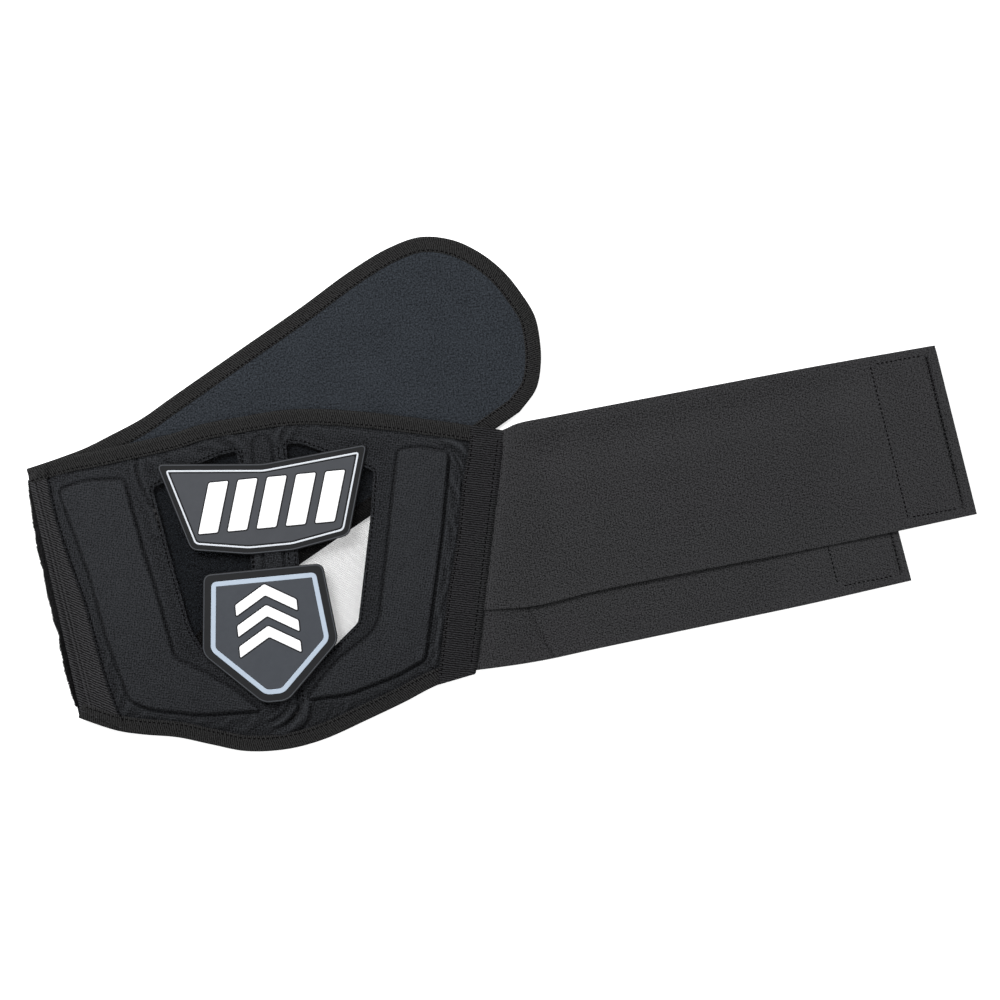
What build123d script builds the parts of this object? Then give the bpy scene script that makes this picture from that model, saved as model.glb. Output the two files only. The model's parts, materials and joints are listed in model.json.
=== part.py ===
"""Kidney belt for winter and motor sports: a padded back panel with two elastic straps on its right
side and a padded, loop-faced flap on its left side, folded behind the panel as it lies on a table.

Millimetres, +Z up. Outlines are drawn about the middle of the spine, +Y up the spine and +X towards
the straps. SHEET is that drawing plane, moved so that the part's origin is the bottom centre of its box.
"""
from build123d import *
from math import hypot
import os

os.makedirs("parts", exist_ok=True)

# ---------------------------------------------------------------- driving dimensions
SPINE_TO_MIDDLE = (167.55, 56.75)         # from the middle of the spine to the middle of the footprint
SHEET = Plane(origin=(-SPINE_TO_MIDDLE[0], -SPINE_TO_MIDDLE[1], 0))

# The two seams that the belt turns about, each from its upper to its lower end
FOLD_SEAM = ((-169.3, 96.5), (-149.3, -84.5))       # back panel to flap
STRAP_SEAM = ((174.3, 91.0), (137.0, -80.5))        # back panel to straps
SEAM_GAP = 0.3
SIDE_REACH = 40.0                       # construction overhang past a seam

# Heights of the layers above the table
BINDING_CLOTH = 0.3
FLAP_LOOP_TOP = 0.9
FLAP_FOAM_TOP = 2.9
FLAP_TOP = 3.5
PANEL_BOTTOM = 4.4
LINING_TOP = 5.0
FOAM_TOP = 8.0
FACE_TOP = 8.6
TAPE_TOP = 9.5

# Edges, padding and windows
BINDING_WIDTH = 11.0
BINDING_INSET = 0.6                     # binding cloth and its slack round the bound edge
ROLL_REACH = 3.5                        # rolled loop cloth that stands out past the fold seam
ROLL_END = 8.0
PAD_HEIGHT = 4.4
PAD_COVER = 0.6
PAD_CHAMFER = 2.2
SPINE_PAD_HEIGHT = 1.2
SPINE_CHAMFER = 0.8
CORNER = 4.0
WINDOW_SEAM = 5.0                       # mesh caught under the face round each window
MESH_CLOTH = 0.4

# Straps
ELASTIC = 1.5
STRAP_BEND = 42.0                       # run over which a strap comes down from the seam
STRAP_REACH = 420.0
ROOT_WIDTH = 22.0                       # webbing sewn in under the side tape
HOOK_PATCH = 1.2
LOWER_ROOT_Z, LOWER_FLAT_Z = LINING_TOP, HOOK_PATCH
UPPER_ROOT_Z, UPPER_FLAT_Z = LINING_TOP + ELASTIC, 4.2
LOWER_ROOT_SPAN = (48.0, -79.0)         # along the spine, top and bottom
UPPER_ROOT_SPAN = (89.0, -36.0)

# Rubber badges, heights above the face
BADGE_BASE = 2.4
BADGE_LINE = 0.5
BADGE_FIELD = 0.4
BADGE_MOTIF = 0.8
BADGE_LINE_INSET, BADGE_LINE_WIDTH = 4.5, 1.3
BADGE_FIELD_INSET = 6.8
EMBLEM_RING_INSET, EMBLEM_RING_WIDTH = 6.0, 3.5

# ---------------------------------------------------------------- outlines
PANEL_TOP = ((-169.3, 96.5), (-112, 105), (-62, 111.5), (0, 119.5), (38, 119.5), (104, 107.5), (174.3, 91))
PANEL_BOTTOM_EDGE = (
    (137, -80.5), (108, -86.5), (66, -103), (22, -118), (-11, -121.8),
    (-42, -117.5), (-78, -105.5), (-116, -98.5), (-149.3, -84.5),
)
WINDOW = ((16, 96), (79, 72), (57.5, -36.5), (16, -69))             # right of the spine, and mirrored
RIGHT_PAD = ((96, 85.5), (134.5, 80), (104, -68), (68, -81.5), (15, -88.5), (41, -60), (69, -42))
LEFT_PAD = ((-99, 83.5), (-148, 80), (-113, -77), (-63, -91), (-17, -93), (-46, -66), (-76, -48))
SPINE_PAD = ((-6.5, 101), (7.5, 101), (7.5, -104), (-6.5, -104))
LEFT_TAPE_EDGE = ((-157, 105), (-118, -105))
RIGHT_TAPE_EDGE = ((152, 105), (109, -95))
FLAP_UPPER_RUN = ((-144, 102.5), (-108, 114.5), (-62.8, 136.6))
FLAP_ROUND_END = (
    (75.8, 216), (127.5, 235.3), (168, 221), (196, 189), (206, 152), (202, 121), (186, 103.5),
)
FLAP_LOWER_RUN = ((20, 10.5), (-56, -44))
UPPER_STRAP = ((208, 98), (318, 108.5), (488.5, 122.6), (507, -1.1), (392, -14), (269, -26), (184, -36.5))
LOWER_STRAP = ((184, 50), (435.8, 78.9), (455.8, -44.2), (374, -55), (301, -63), (228, -71), (184, -76))
UPPER_PATCH = ((440.6, 113.8), (481.4, 117.3), (498.1, 3.5), (457.1, -0.6))
LOWER_PATCH = ((384, 69), (431.5, 73.5), (449.5, -40), (402.9, -45))
BADGE = ((-76, 91), (0, 84), (76, 91), (57, 27), (16, 20), (-16, 20), (-57, 27))
EMBLEM = ((-50, 9), (36, 9), (42, -48), (2, -87), (-16, -87), (-56, -48))
BAR_HEIGHT, BAR_WIDTH, BAR_PITCH, BAR_LEAN = 36.0, 14.0, 21.0, 11.0
BAR_COUNT = 5
BAR_MIDDLE = (4, 56)
CHEVRON_HALF_WIDTH, CHEVRON_RISE, CHEVRON_BAND, CHEVRON_PITCH = 22.0, 13.0, 8.0, 15.0
CHEVRON_COUNT = 3
CHEVRON_MIDDLE = (-7, -30)


# ---------------------------------------------------------------- shared shapes
def on_seam(seam, y, sideways=0.0):
    """Point of a seam at a given y, moved at right angles towards the straps."""
    (upper_x, upper_y), (lower_x, lower_y) = seam
    run = hypot(upper_x - lower_x, upper_y - lower_y)
    along = (upper_y - y) / (upper_y - lower_y)
    x = upper_x + along * (lower_x - upper_x)
    return (x + sideways * (upper_y - lower_y) / run, y - sideways * (upper_x - lower_x) / run)


def seam_end(seam, end, sideways=0.0):
    return on_seam(seam, seam[end][1], sideways)


def seam_section(seam):
    """Plane across a seam at its lower end: x towards the straps, y up, z down the seam."""
    (upper_x, upper_y), (lower_x, lower_y) = seam
    outward = (upper_y - lower_y, lower_x - upper_x, 0)
    lower_end = (lower_x - SPINE_TO_MIDDLE[0], lower_y - SPINE_TO_MIDDLE[1], 0)
    return Plane(origin=lower_end, x_dir=outward, z_dir=(outward[1], -outward[0], 0))


def moved_in(points, distance):
    """Points of an edge that runs clockwise, moved inward at right angles to it."""
    moved = []
    for index, (x, y) in enumerate(points):
        before, after = points[max(index - 1, 0)], points[min(index + 1, len(points) - 1)]
        run_x, run_y = after[0] - before[0], after[1] - before[1]
        run = hypot(run_x, run_y)
        moved.append((x + distance * run_y / run, y - distance * run_x / run))
    return moved


def close_side(start, finish, reach):
    """Straight seam side from one edge to the next, or a box past the seam that carries both on."""
    if reach:
        Polyline(start @ 1, start @ 1 + (start % 1) * reach, finish @ 0 - (finish % 0) * reach, finish @ 0)
    else:
        Line(start @ 1, finish @ 0)


def draw_panel(inset=0.0, mode=Mode.ADD):
    """Back panel's outline; with inset, only the bound edges move in and the seam sides overhang."""
    reach = SIDE_REACH if inset else 0
    with BuildLine() as outline:
        top = Spline(*moved_in(PANEL_TOP, inset))
        bottom = Spline(*moved_in(PANEL_BOTTOM_EDGE, inset))
        close_side(top, bottom, reach)
        close_side(bottom, top, reach)
    make_face(outline.edges(), mode=mode)


def draw_flap(inset=0.0, mode=Mode.ADD):
    """Flap's outline, with inset as for the panel."""
    corners = [seam_end(FOLD_SEAM, 0, SEAM_GAP), *FLAP_UPPER_RUN, *FLAP_ROUND_END]
    corners += [*FLAP_LOWER_RUN, seam_end(FOLD_SEAM, 1, SEAM_GAP)]
    edge = moved_in(corners, inset)
    round_start, round_finish = len(FLAP_UPPER_RUN) + 1, -4
    with BuildLine() as outline:
        upper = Spline(*edge[:round_start + 1])
        lower = Line(edge[round_finish], edge[-3])
        Spline(*edge[round_start:round_finish + 1], tangents=(upper % 1, lower % 0))
        lowest = Polyline(*edge[-3:])
        close_side(lowest, upper, SIDE_REACH if inset else 0)
    make_face(outline.edges(), mode=mode)


def draw_rounded(points, radius=CORNER, mode=Mode.ADD):
    with BuildLine() as outline:
        FilletPolyline(*points, radius=radius, close=True)
    make_face(outline.edges(), mode=mode)


def draw_straight(points, mode=Mode.ADD):
    with BuildLine() as outline:
        Polyline(*points, close=True)
    make_face(outline.edges(), mode=mode)


def draw_windows(mode=Mode.ADD):
    for side in (1, -1):
        draw_rounded([(side * x, y) for x, y in WINDOW], mode=mode)


def bound_layer(draw, inset, bottom, top):
    """Flat layer of the panel or flap, cut back from the bound edges but not from the seams."""
    with BuildPart() as layer:
        with BuildSketch(SHEET.offset(bottom)):
            draw(inset)
            draw(mode=Mode.INTERSECT)
        extrude(amount=top - bottom)
    return layer.part


def edge_binding(draw, bottom, top):
    """Folded tape round the bound edges of the layers between two heights."""
    with BuildPart() as binding:
        with BuildSketch(SHEET.offset(bottom - BINDING_CLOTH)):
            draw()
            draw(BINDING_WIDTH, mode=Mode.SUBTRACT)
        extrude(amount=top - bottom + 2 * BINDING_CLOTH)
        add(bound_layer(draw, BINDING_INSET, bottom, top), mode=Mode.SUBTRACT)
    return binding.part


def padded_block(points, grow, height, bevel):
    """Moulded foam block, or with grow its cover, standing on the foam layer."""
    with BuildPart() as block:
        with BuildSketch(SHEET.offset(FOAM_TOP)):
            draw_rounded(points)
            if grow:
                offset(amount=grow, mode=Mode.REPLACE)
        extrude(amount=height + grow)
        chamfer(block.faces().sort_by(Axis.Z)[-1].edges(), length=bevel)
    return block.part


def flat_piece(points, bottom, top):
    with BuildPart() as piece:
        with BuildSketch(SHEET.offset(bottom)):
            draw_straight(points)
        extrude(amount=top - bottom)
    return piece.part


def strap(plan, span, root_bottom, flat_bottom):
    """Elastic strap that leaves its seam level and comes down in an S to lie flat."""
    seam_edge = [on_seam(STRAP_SEAM, span[1], SEAM_GAP), on_seam(STRAP_SEAM, span[0], SEAM_GAP)]
    with BuildPart() as piece:
        with BuildSketch(seam_section(STRAP_SEAM)):
            with BuildLine():
                under = Spline(
                    (SEAM_GAP, root_bottom), (STRAP_BEND, flat_bottom), tangents=((1, 0), (1, 0))
                )
                over = Spline(
                    (SEAM_GAP, root_bottom + ELASTIC), (STRAP_BEND, flat_bottom + ELASTIC),
                    tangents=((1, 0), (1, 0)),
                )
                Line(under @ 0, over @ 0)
                far_end = (STRAP_REACH, flat_bottom)
                Polyline(under @ 1, far_end, (STRAP_REACH, flat_bottom + ELASTIC), over @ 1)
            make_face()
        extrude(amount=STRAP_REACH, both=True)
        with BuildSketch(SHEET):
            draw_straight(seam_edge + list(plan))
        extrude(amount=TAPE_TOP, mode=Mode.INTERSECT)
    return piece.part


def sewn_root(span, bottom):
    """End of a strap, caught between the panel's layers."""
    corners = [
        on_seam(STRAP_SEAM, span[0], -ROOT_WIDTH), on_seam(STRAP_SEAM, span[0]),
        on_seam(STRAP_SEAM, span[1]), on_seam(STRAP_SEAM, span[1], -ROOT_WIDTH),
    ]
    return flat_piece(corners, bottom, bottom + ELASTIC)


def save(piece, label):
    piece.label = label
    export_step(piece, f"parts/{label}.step")


# ---------------------------------------------------------------- flap, folded behind the panel
with BuildPart() as flap_loop_face:
    add(bound_layer(draw_flap, BINDING_INSET, BINDING_CLOTH, FLAP_LOOP_TOP))
    add(bound_layer(draw_flap, BINDING_WIDTH, 0, FLAP_LOOP_TOP))
save(flap_loop_face.part, "flap_loop_face")
save(bound_layer(draw_flap, BINDING_INSET, FLAP_LOOP_TOP, FLAP_FOAM_TOP), "flap_foam")
save(bound_layer(draw_flap, BINDING_INSET, FLAP_FOAM_TOP, FLAP_TOP), "flap_lining")
save(edge_binding(draw_flap, BINDING_CLOTH, FLAP_TOP), "flap_binding")

# Loop cloth rolled round the fold, from under the flap to the edge of the panel
with BuildPart() as flap_fold:
    with BuildSketch(seam_section(FOLD_SEAM)):
        with Locations((0, FACE_TOP / 2)):
            Ellipse(ROLL_REACH, FACE_TOP / 2)
            Ellipse(ROLL_REACH - FLAP_LOOP_TOP, FACE_TOP / 2 - FLAP_LOOP_TOP, mode=Mode.SUBTRACT)
            Rectangle(ROLL_REACH, FACE_TOP, align=(Align.MIN, Align.CENTER), mode=Mode.SUBTRACT)
    fold_length = hypot(FOLD_SEAM[0][0] - FOLD_SEAM[1][0], FOLD_SEAM[0][1] - FOLD_SEAM[1][1])
    extrude(amount=-(fold_length - ROLL_END))
    with BuildSketch(seam_section(FOLD_SEAM)):
        Rectangle(4 * ROLL_REACH, 4 * FACE_TOP)
    extrude(amount=-ROLL_END, mode=Mode.SUBTRACT)
save(flap_fold.part, "flap_fold")

# ---------------------------------------------------------------- back panel
roots = {
    "lower_strap_root": sewn_root(LOWER_ROOT_SPAN, LOWER_ROOT_Z),
    "upper_strap_root": sewn_root(UPPER_ROOT_SPAN, UPPER_ROOT_Z),
}
inserts = {
    "pad_insert_left": (LEFT_PAD, PAD_HEIGHT, PAD_CHAMFER),
    "pad_insert_right": (RIGHT_PAD, PAD_HEIGHT, PAD_CHAMFER),
    "spine_pad_insert": (SPINE_PAD, SPINE_PAD_HEIGHT, SPINE_CHAMFER),
}
for label, root in roots.items():
    save(root, label)
for label, (points, height, bevel) in inserts.items():
    save(padded_block(points, 0.0, height, bevel), label)

with BuildPart() as panel_lining:
    add(bound_layer(draw_panel, BINDING_INSET, PANEL_BOTTOM, LINING_TOP))
    with BuildSketch(SHEET.offset(PANEL_BOTTOM)):
        draw_windows()
    extrude(amount=LINING_TOP - PANEL_BOTTOM, mode=Mode.SUBTRACT)
save(panel_lining.part, "panel_lining")

with BuildPart() as panel_foam:
    add(bound_layer(draw_panel, BINDING_INSET, LINING_TOP, FOAM_TOP))
    with BuildSketch(SHEET.offset(LINING_TOP)):
        draw_windows()
        offset(amount=WINDOW_SEAM, mode=Mode.REPLACE)
    extrude(amount=FOAM_TOP - LINING_TOP, mode=Mode.SUBTRACT)
    for root in roots.values():
        add(root, mode=Mode.SUBTRACT)
save(panel_foam.part, "panel_foam")

with BuildPart() as panel_face:
    add(bound_layer(draw_panel, BINDING_INSET, FOAM_TOP, FACE_TOP))
    with BuildSketch(SHEET.offset(FOAM_TOP)):
        draw_windows()
    extrude(amount=FACE_TOP - FOAM_TOP, mode=Mode.SUBTRACT)
    for points, height, bevel in inserts.values():
        add(padded_block(points, PAD_COVER, height, bevel))
    for points, height, bevel in inserts.values():
        add(padded_block(points, 0.0, height, bevel), mode=Mode.SUBTRACT)
save(panel_face.part, "panel_face")

for label, side in (("window_mesh_right", 1), ("window_mesh_left", -1)):
    with BuildPart() as window_mesh:
        with BuildSketch(SHEET.offset(FOAM_TOP - MESH_CLOTH)):
            draw_rounded([(side * x, y) for x, y in WINDOW])
            offset(amount=WINDOW_SEAM, mode=Mode.REPLACE)
        extrude(amount=MESH_CLOTH)
    save(window_mesh.part, label)

panel_bindings = edge_binding(draw_panel, PANEL_BOTTOM, FACE_TOP)
bottom_binding, top_binding = panel_bindings.solids().sort_by(Axis.Y)
save(Part(top_binding.wrapped), "top_binding")
save(Part(bottom_binding.wrapped), "bottom_binding")

for label, seam, inner_edge in (
    ("left_side_tape", FOLD_SEAM, LEFT_TAPE_EDGE),
    ("right_side_tape", STRAP_SEAM, RIGHT_TAPE_EDGE),
):
    outer_edge = (on_seam(seam, inner_edge[0][1]), on_seam(seam, inner_edge[1][1]))
    with BuildPart() as side_tape:
        with BuildSketch(SHEET.offset(FACE_TOP)):
            draw_straight([inner_edge[0], outer_edge[0], outer_edge[1], inner_edge[1]])
            draw_panel(mode=Mode.INTERSECT)
        extrude(amount=TAPE_TOP - FACE_TOP)
        add(panel_bindings, mode=Mode.SUBTRACT)
    save(side_tape.part, label)


# ---------------------------------------------------------------- rubber badges on the spine
def draw_badge():
    draw_rounded(BADGE)


def draw_emblem():
    draw_rounded(EMBLEM)


def badge_plate(draw, inset, bottom, top, hollow=0.0):
    """Plate or, with hollow, a raised line, that follows a badge's outline."""
    with BuildPart() as plate:
        with BuildSketch(SHEET.offset(bottom)):
            draw()
            if inset:
                offset(amount=-inset, kind=Kind.INTERSECTION, mode=Mode.REPLACE)
            if hollow:
                offset(amount=-hollow, kind=Kind.INTERSECTION, mode=Mode.SUBTRACT)
        extrude(amount=top - bottom)
    return plate.part


base_top = FACE_TOP + BADGE_BASE
spine_cover = padded_block(SPINE_PAD, PAD_COVER, SPINE_PAD_HEIGHT, SPINE_CHAMFER)
for label, draw in (("badge_base", draw_badge), ("emblem_base", draw_emblem)):
    with BuildPart() as rubber_base:
        add(badge_plate(draw, 0.0, FACE_TOP, base_top))
        add(spine_cover, mode=Mode.SUBTRACT)
    save(rubber_base.part, label)

save(
    badge_plate(draw_badge, BADGE_LINE_INSET, base_top, base_top + BADGE_LINE, BADGE_LINE_WIDTH),
    "badge_outline",
)
save(badge_plate(draw_badge, BADGE_FIELD_INSET, base_top, base_top + BADGE_FIELD), "badge_field")
save(
    badge_plate(draw_emblem, EMBLEM_RING_INSET, base_top, base_top + BADGE_LINE, EMBLEM_RING_WIDTH),
    "emblem_ring",
)
save(
    badge_plate(draw_emblem, EMBLEM_RING_INSET + EMBLEM_RING_WIDTH, base_top, base_top + BADGE_FIELD),
    "emblem_field",
)

with BuildPart() as badge_bars:
    with BuildSketch(SHEET.offset(base_top + BADGE_FIELD)):
        for index in range(BAR_COUNT):
            left = BAR_MIDDLE[0] + (index - (BAR_COUNT - 1) / 2) * BAR_PITCH - BAR_WIDTH / 2
            low, high = BAR_MIDDLE[1] - BAR_HEIGHT / 2, BAR_MIDDLE[1] + BAR_HEIGHT / 2
            lean = BAR_LEAN / 2
            draw_straight([
                (left - lean, low), (left - lean + BAR_WIDTH, low),
                (left + lean + BAR_WIDTH, high), (left + lean, high),
            ])
    extrude(amount=BADGE_MOTIF)
save(badge_bars.part, "badge_bars")

with BuildPart() as emblem_chevrons:
    with BuildSketch(SHEET.offset(base_top + BADGE_FIELD)):
        for index in range(CHEVRON_COUNT):
            middle_x = CHEVRON_MIDDLE[0]
            peak = CHEVRON_MIDDLE[1] + CHEVRON_RISE + (1 - index) * CHEVRON_PITCH
            left, right = middle_x - CHEVRON_HALF_WIDTH, middle_x + CHEVRON_HALF_WIDTH
            draw_straight([
                (left, peak - CHEVRON_RISE), (middle_x, peak), (right, peak - CHEVRON_RISE),
                (right, peak - CHEVRON_RISE - CHEVRON_BAND), (middle_x, peak - CHEVRON_BAND),
                (left, peak - CHEVRON_RISE - CHEVRON_BAND),
            ])
    extrude(amount=BADGE_MOTIF)
save(emblem_chevrons.part, "emblem_chevrons")

# ---------------------------------------------------------------- straps
save(strap(LOWER_STRAP, LOWER_ROOT_SPAN, LOWER_ROOT_Z, LOWER_FLAT_Z), "lower_strap_elastic")
save(strap(UPPER_STRAP, UPPER_ROOT_SPAN, UPPER_ROOT_Z, UPPER_FLAT_Z), "upper_strap_elastic")
save(flat_piece(LOWER_PATCH, LOWER_FLAT_Z - HOOK_PATCH, LOWER_FLAT_Z), "lower_strap_hook_patch")
save(flat_piece(UPPER_PATCH, UPPER_FLAT_Z - HOOK_PATCH, UPPER_FLAT_Z), "upper_strap_hook_patch")
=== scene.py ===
"""Looks for the folded kidney belt: soft padded panel, sheer windows, rubber badges, elastic straps.

Outlines are in millimetres in the belt's own sheet: the origin is the middle of the spine, +Y runs up
the spine and +X towards the straps. The fold hinge of the frame places that sheet in the row frame.
"""
import json
import math

import bpy
import numpy as np
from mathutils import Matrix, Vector
from mathutils.geometry import delaunay_2d_cdt, tessellate_polygon


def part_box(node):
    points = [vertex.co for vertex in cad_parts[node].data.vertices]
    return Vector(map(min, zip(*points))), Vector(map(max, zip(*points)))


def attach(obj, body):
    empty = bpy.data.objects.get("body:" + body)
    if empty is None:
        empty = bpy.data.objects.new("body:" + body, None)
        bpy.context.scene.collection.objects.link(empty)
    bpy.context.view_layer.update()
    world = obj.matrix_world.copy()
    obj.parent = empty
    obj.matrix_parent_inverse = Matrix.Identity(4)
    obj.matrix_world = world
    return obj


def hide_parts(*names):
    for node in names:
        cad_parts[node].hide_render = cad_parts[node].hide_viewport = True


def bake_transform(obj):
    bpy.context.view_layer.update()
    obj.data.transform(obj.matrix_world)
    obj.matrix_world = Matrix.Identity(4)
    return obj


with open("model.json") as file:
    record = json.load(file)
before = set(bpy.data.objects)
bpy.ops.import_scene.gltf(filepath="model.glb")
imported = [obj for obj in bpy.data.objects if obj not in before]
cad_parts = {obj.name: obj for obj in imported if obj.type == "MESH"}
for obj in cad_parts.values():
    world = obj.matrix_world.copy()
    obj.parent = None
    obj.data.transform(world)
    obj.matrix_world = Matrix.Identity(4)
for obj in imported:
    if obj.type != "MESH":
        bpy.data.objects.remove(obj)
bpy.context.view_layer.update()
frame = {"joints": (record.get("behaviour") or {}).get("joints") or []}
random_draws = np.random.default_rng(7)

# ---------------------------------------------------------------- sizes, millimetres
FOLD_SEAM = ((-169.3, 96.5), (-149.3, -84.5))
STRAP_SEAM = ((174.3, 91.0), (137.0, -80.5))
MM = 0.001


def frame_height(node, end):
    """Lowest (0) or highest (1) height of a CAD node, in millimetres."""
    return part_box(node)[end].z / MM


JOINTS = {joint["name"]: joint for joint in frame["joints"]}
FOLD_PIVOT = Vector(JOINTS["flap_fold_hinge"]["pos_m"]) / MM
SHEET_ORIGIN = np.array([
    FOLD_PIVOT.x - (FOLD_SEAM[0][0] + FOLD_SEAM[1][0]) / 2,
    FOLD_PIVOT.y - (FOLD_SEAM[0][1] + FOLD_SEAM[1][1]) / 2,
])
FLAP_TOP = frame_height("flap_lining", 1)
FLAP_CORE_BOTTOM = frame_height("flap_foam", 0)
PANEL_BOTTOM = frame_height("panel_lining", 0)
FACE_TOP = frame_height("panel_face", 0) + 0.6
MESH_HEIGHT = frame_height("window_mesh_left", 1)
ELASTIC = 1.5
LOWER_FLAT = frame_height("lower_strap_elastic", 0)
UPPER_FLAT = frame_height("upper_strap_elastic", 0)
LOWER_ROOT = frame_height("lower_strap_root", 0)
UPPER_ROOT = frame_height("upper_strap_root", 0)
BADGE_BASE_TOP = frame_height("badge_base", 1)

PANEL_TOP = (
    (-169.3, 96.3), (-143, 101.8), (-116, 104.6), (-90, 107.8), (-62, 111.5), (-43, 115.8), (-15, 118.5),
    (16, 120.6), (40, 119.4), (79, 113.2), (110, 106.5), (140, 99.5), (174.3, 91),
)
PANEL_BOTTOM_EDGE = (
    (137, -80.5), (110, -85.6), (84, -96), (58, -105.5), (24, -117), (-3, -121.4), (-32, -120), (-56, -113),
    (-80, -105.4), (-104, -101), (-122, -96.5), (-149.3, -84.5),
)
WINDOW_LEFT = (
    (-18, 95), (-33, 92.5), (-50, 87), (-80.5, 74), (-72, 21), (-63, -29), (-56, -43), (-16, -69), (-15, 40),
)
WINDOW_RIGHT = ((18, 97), (28, 96), (78.5, 71.5), (73, 38), (57, -36), (40, -50), (17, -68), (19, 20))
LEFT_PAD = (
    (-99.5, 83), (-128, 84.5), (-148, 79.5), (-131, 12), (-124, -30), (-112, -76), (-98, -84), (-62, -91.5),
    (-17, -93), (-33, -76.5), (-59, -58), (-75.5, -49), (-83, -6), (-90, 27),
)
RIGHT_PAD = (
    (97, 85.5), (113, 86), (134.5, 80), (124, 24), (103, -67), (82, -76.5), (46, -86.8), (14, -88.3),
    (25, -75.5), (39, -61.5), (66, -44), (71.5, -36), (82, 12), (92, 63),
)
SPINE_PAD = ((-6.3, 100), (-2, 104), (4, 104), (7.5, 99), (8.6, 79), (8.6, -104), (-6.3, -104))
FLAP_UPPER_RUN = (
    (-144, 102.5), (-126, 107.5), (-108, 114.5), (-84, 124.5), (-62.8, 136.6), (-14, 164.2), (36.6, 192.6),
)
FLAP_ROUND_END = (
    (75.8, 216), (104, 229.5), (127.5, 235.3), (150, 231.2), (168, 221), (184, 206), (196, 188), (204, 171),
    (206, 152), (205, 136), (200, 119), (187, 104),
)
FLAP_LOWER_RUN = ((120, 66), (20, 10.5), (-56, -44))
UPPER_EDGES = (
    ((174.3, 92), (184, 95.3), (208, 98), (318, 108.3), (400, 115.7), (488.5, 122.6)),
    ((146.5, -36), (184, -36.5), (232, -29.8), (305, -22.3), (394, -14), (507, -1.1)),
)
LOWER_EDGES = (
    ((164.5, 47), (190, 49.5), (300, 62), (435.8, 78.9)),
    ((137.5, -78), (180, -76.6), (228, -71.2), (301, -63), (374.5, -54.8), (455.8, -44.2)),
)
BADGE = ((-76, 91), (0, 84), (76, 91), (57, 27), (16, 20), (-16, 20), (-57, 27))
EMBLEM = ((-50, 9), (36, 9), (42, -48), (2, -87), (-16, -87), (-56, -48))


# ---------------------------------------------------------------- plane geometry
def along(points, step, closed=False):
    """Smooth curve through points (centripetal Catmull-Rom), sampled about every step."""
    given = np.array(points, float)
    if closed:
        given = np.vstack([given[-1:], given, given[:2]])
    else:
        given = np.vstack([2 * given[0] - given[1], given, 2 * given[-1] - given[-2]])
    made = []
    for before, start, finish, after in zip(given, given[1:], given[2:], given[3:]):
        knots = np.cumsum([0.0] + [max(np.linalg.norm(b - a), 1e-6) ** 0.5
                                   for a, b in ((before, start), (start, finish), (finish, after))])
        count = max(1, int(round(np.linalg.norm(finish - start) / step)))
        t = np.linspace(knots[1], knots[2], count, endpoint=False)[:, None]
        k0, k1, k2, k3 = knots
        a1 = ((k1 - t) * before + (t - k0) * start) / (k1 - k0)
        a2 = ((k2 - t) * start + (t - k1) * finish) / (k2 - k1)
        a3 = ((k3 - t) * finish + (t - k2) * after) / (k3 - k2)
        b1 = ((k2 - t) * a1 + (t - k0) * a2) / (k2 - k0)
        b2 = ((k3 - t) * a2 + (t - k1) * a3) / (k3 - k1)
        made.append(((k2 - t) * b1 + (t - k1) * b2) / (k2 - k1))
    curve = np.vstack(made)
    return curve if closed else np.vstack([curve, given[-2]])


def run_of(line):
    """Distance travelled at each point of a line."""
    return np.concatenate([[0], np.cumsum(np.linalg.norm(np.diff(line, axis=0), axis=1))])


def at_runs(line, run, places):
    """Points of a line at given distances travelled."""
    return np.stack([np.interp(places, run, line[:, k]) for k in (0, 1)], axis=-1)


def even(points, step, closed=False):
    """Polyline again, with points evenly spaced about step apart."""
    line = np.array(points, float)
    if closed:
        line = np.vstack([line, line[:1]])
    run = run_of(line)
    made = at_runs(line, run, np.linspace(0, run[-1], max(2, int(round(run[-1] / step)) + 1)))
    return made[:-1] if closed else made


def corner_path(corners, radius, steps=8):
    """Closed outline through corners, each rounded by the same number of points."""
    corners = np.array(corners, float)
    t = np.linspace(0, 1, steps)[:, None]
    made = []
    for before, corner, after in zip(np.roll(corners, 1, 0), corners, np.roll(corners, -1, 0)):
        back, on = before - corner, after - corner
        reach = min(radius, 0.45 * np.linalg.norm(back), 0.45 * np.linalg.norm(on))
        start = corner + back / np.linalg.norm(back) * reach
        finish = corner + on / np.linalg.norm(on) * reach
        made.append((1 - t) ** 2 * start + 2 * t * (1 - t) * corner + t ** 2 * finish)
    return np.vstack(made)


def rounded(corners, radius):
    """Closed outline through rounded corners, with points a millimetre apart."""
    return even(corner_path(corners, radius, 7), 1.0, closed=True)


def inset_corners(corners, inset):
    """Corners of a clockwise outline whose sides have all moved inward by inset."""
    corners = np.array(corners, float)
    made = []
    for before, corner, after in zip(np.roll(corners, 1, 0), corners, np.roll(corners, -1, 0)):
        first = (corner - before) / np.linalg.norm(corner - before)
        second = (after - corner) / np.linalg.norm(after - corner)
        inward = np.array([first[1], -first[0]]) + np.array([second[1], -second[0]])
        made.append(corner + inward * inset / (1 + first @ second))
    return np.array(made)


def normals_of(line, closed=False):
    """Unit normals on the right-hand side of travel."""
    if closed:
        run = np.roll(line, -1, 0) - np.roll(line, 1, 0)
    else:
        run = np.gradient(line, axis=0)
    run = run / np.maximum(np.linalg.norm(run, axis=1), 1e-9)[:, None]
    return np.stack([run[:, 1], -run[:, 0]], axis=1)


def moved(line, to_right):
    """Open line moved to the right of travel."""
    return line + normals_of(line) * to_right


def enclosed(outline):
    """Area of a closed outline, negative if it runs clockwise."""
    x, y = outline[:, 0], outline[:, 1]
    return np.sum(x * np.roll(y, -1) - np.roll(x, -1) * y) / 2


def grown(outline, outward):
    """Closed outline moved outward, or inward where the distance is negative."""
    return outline + normals_of(outline, closed=True) * (outward if enclosed(outline) >= 0 else -outward)


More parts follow.
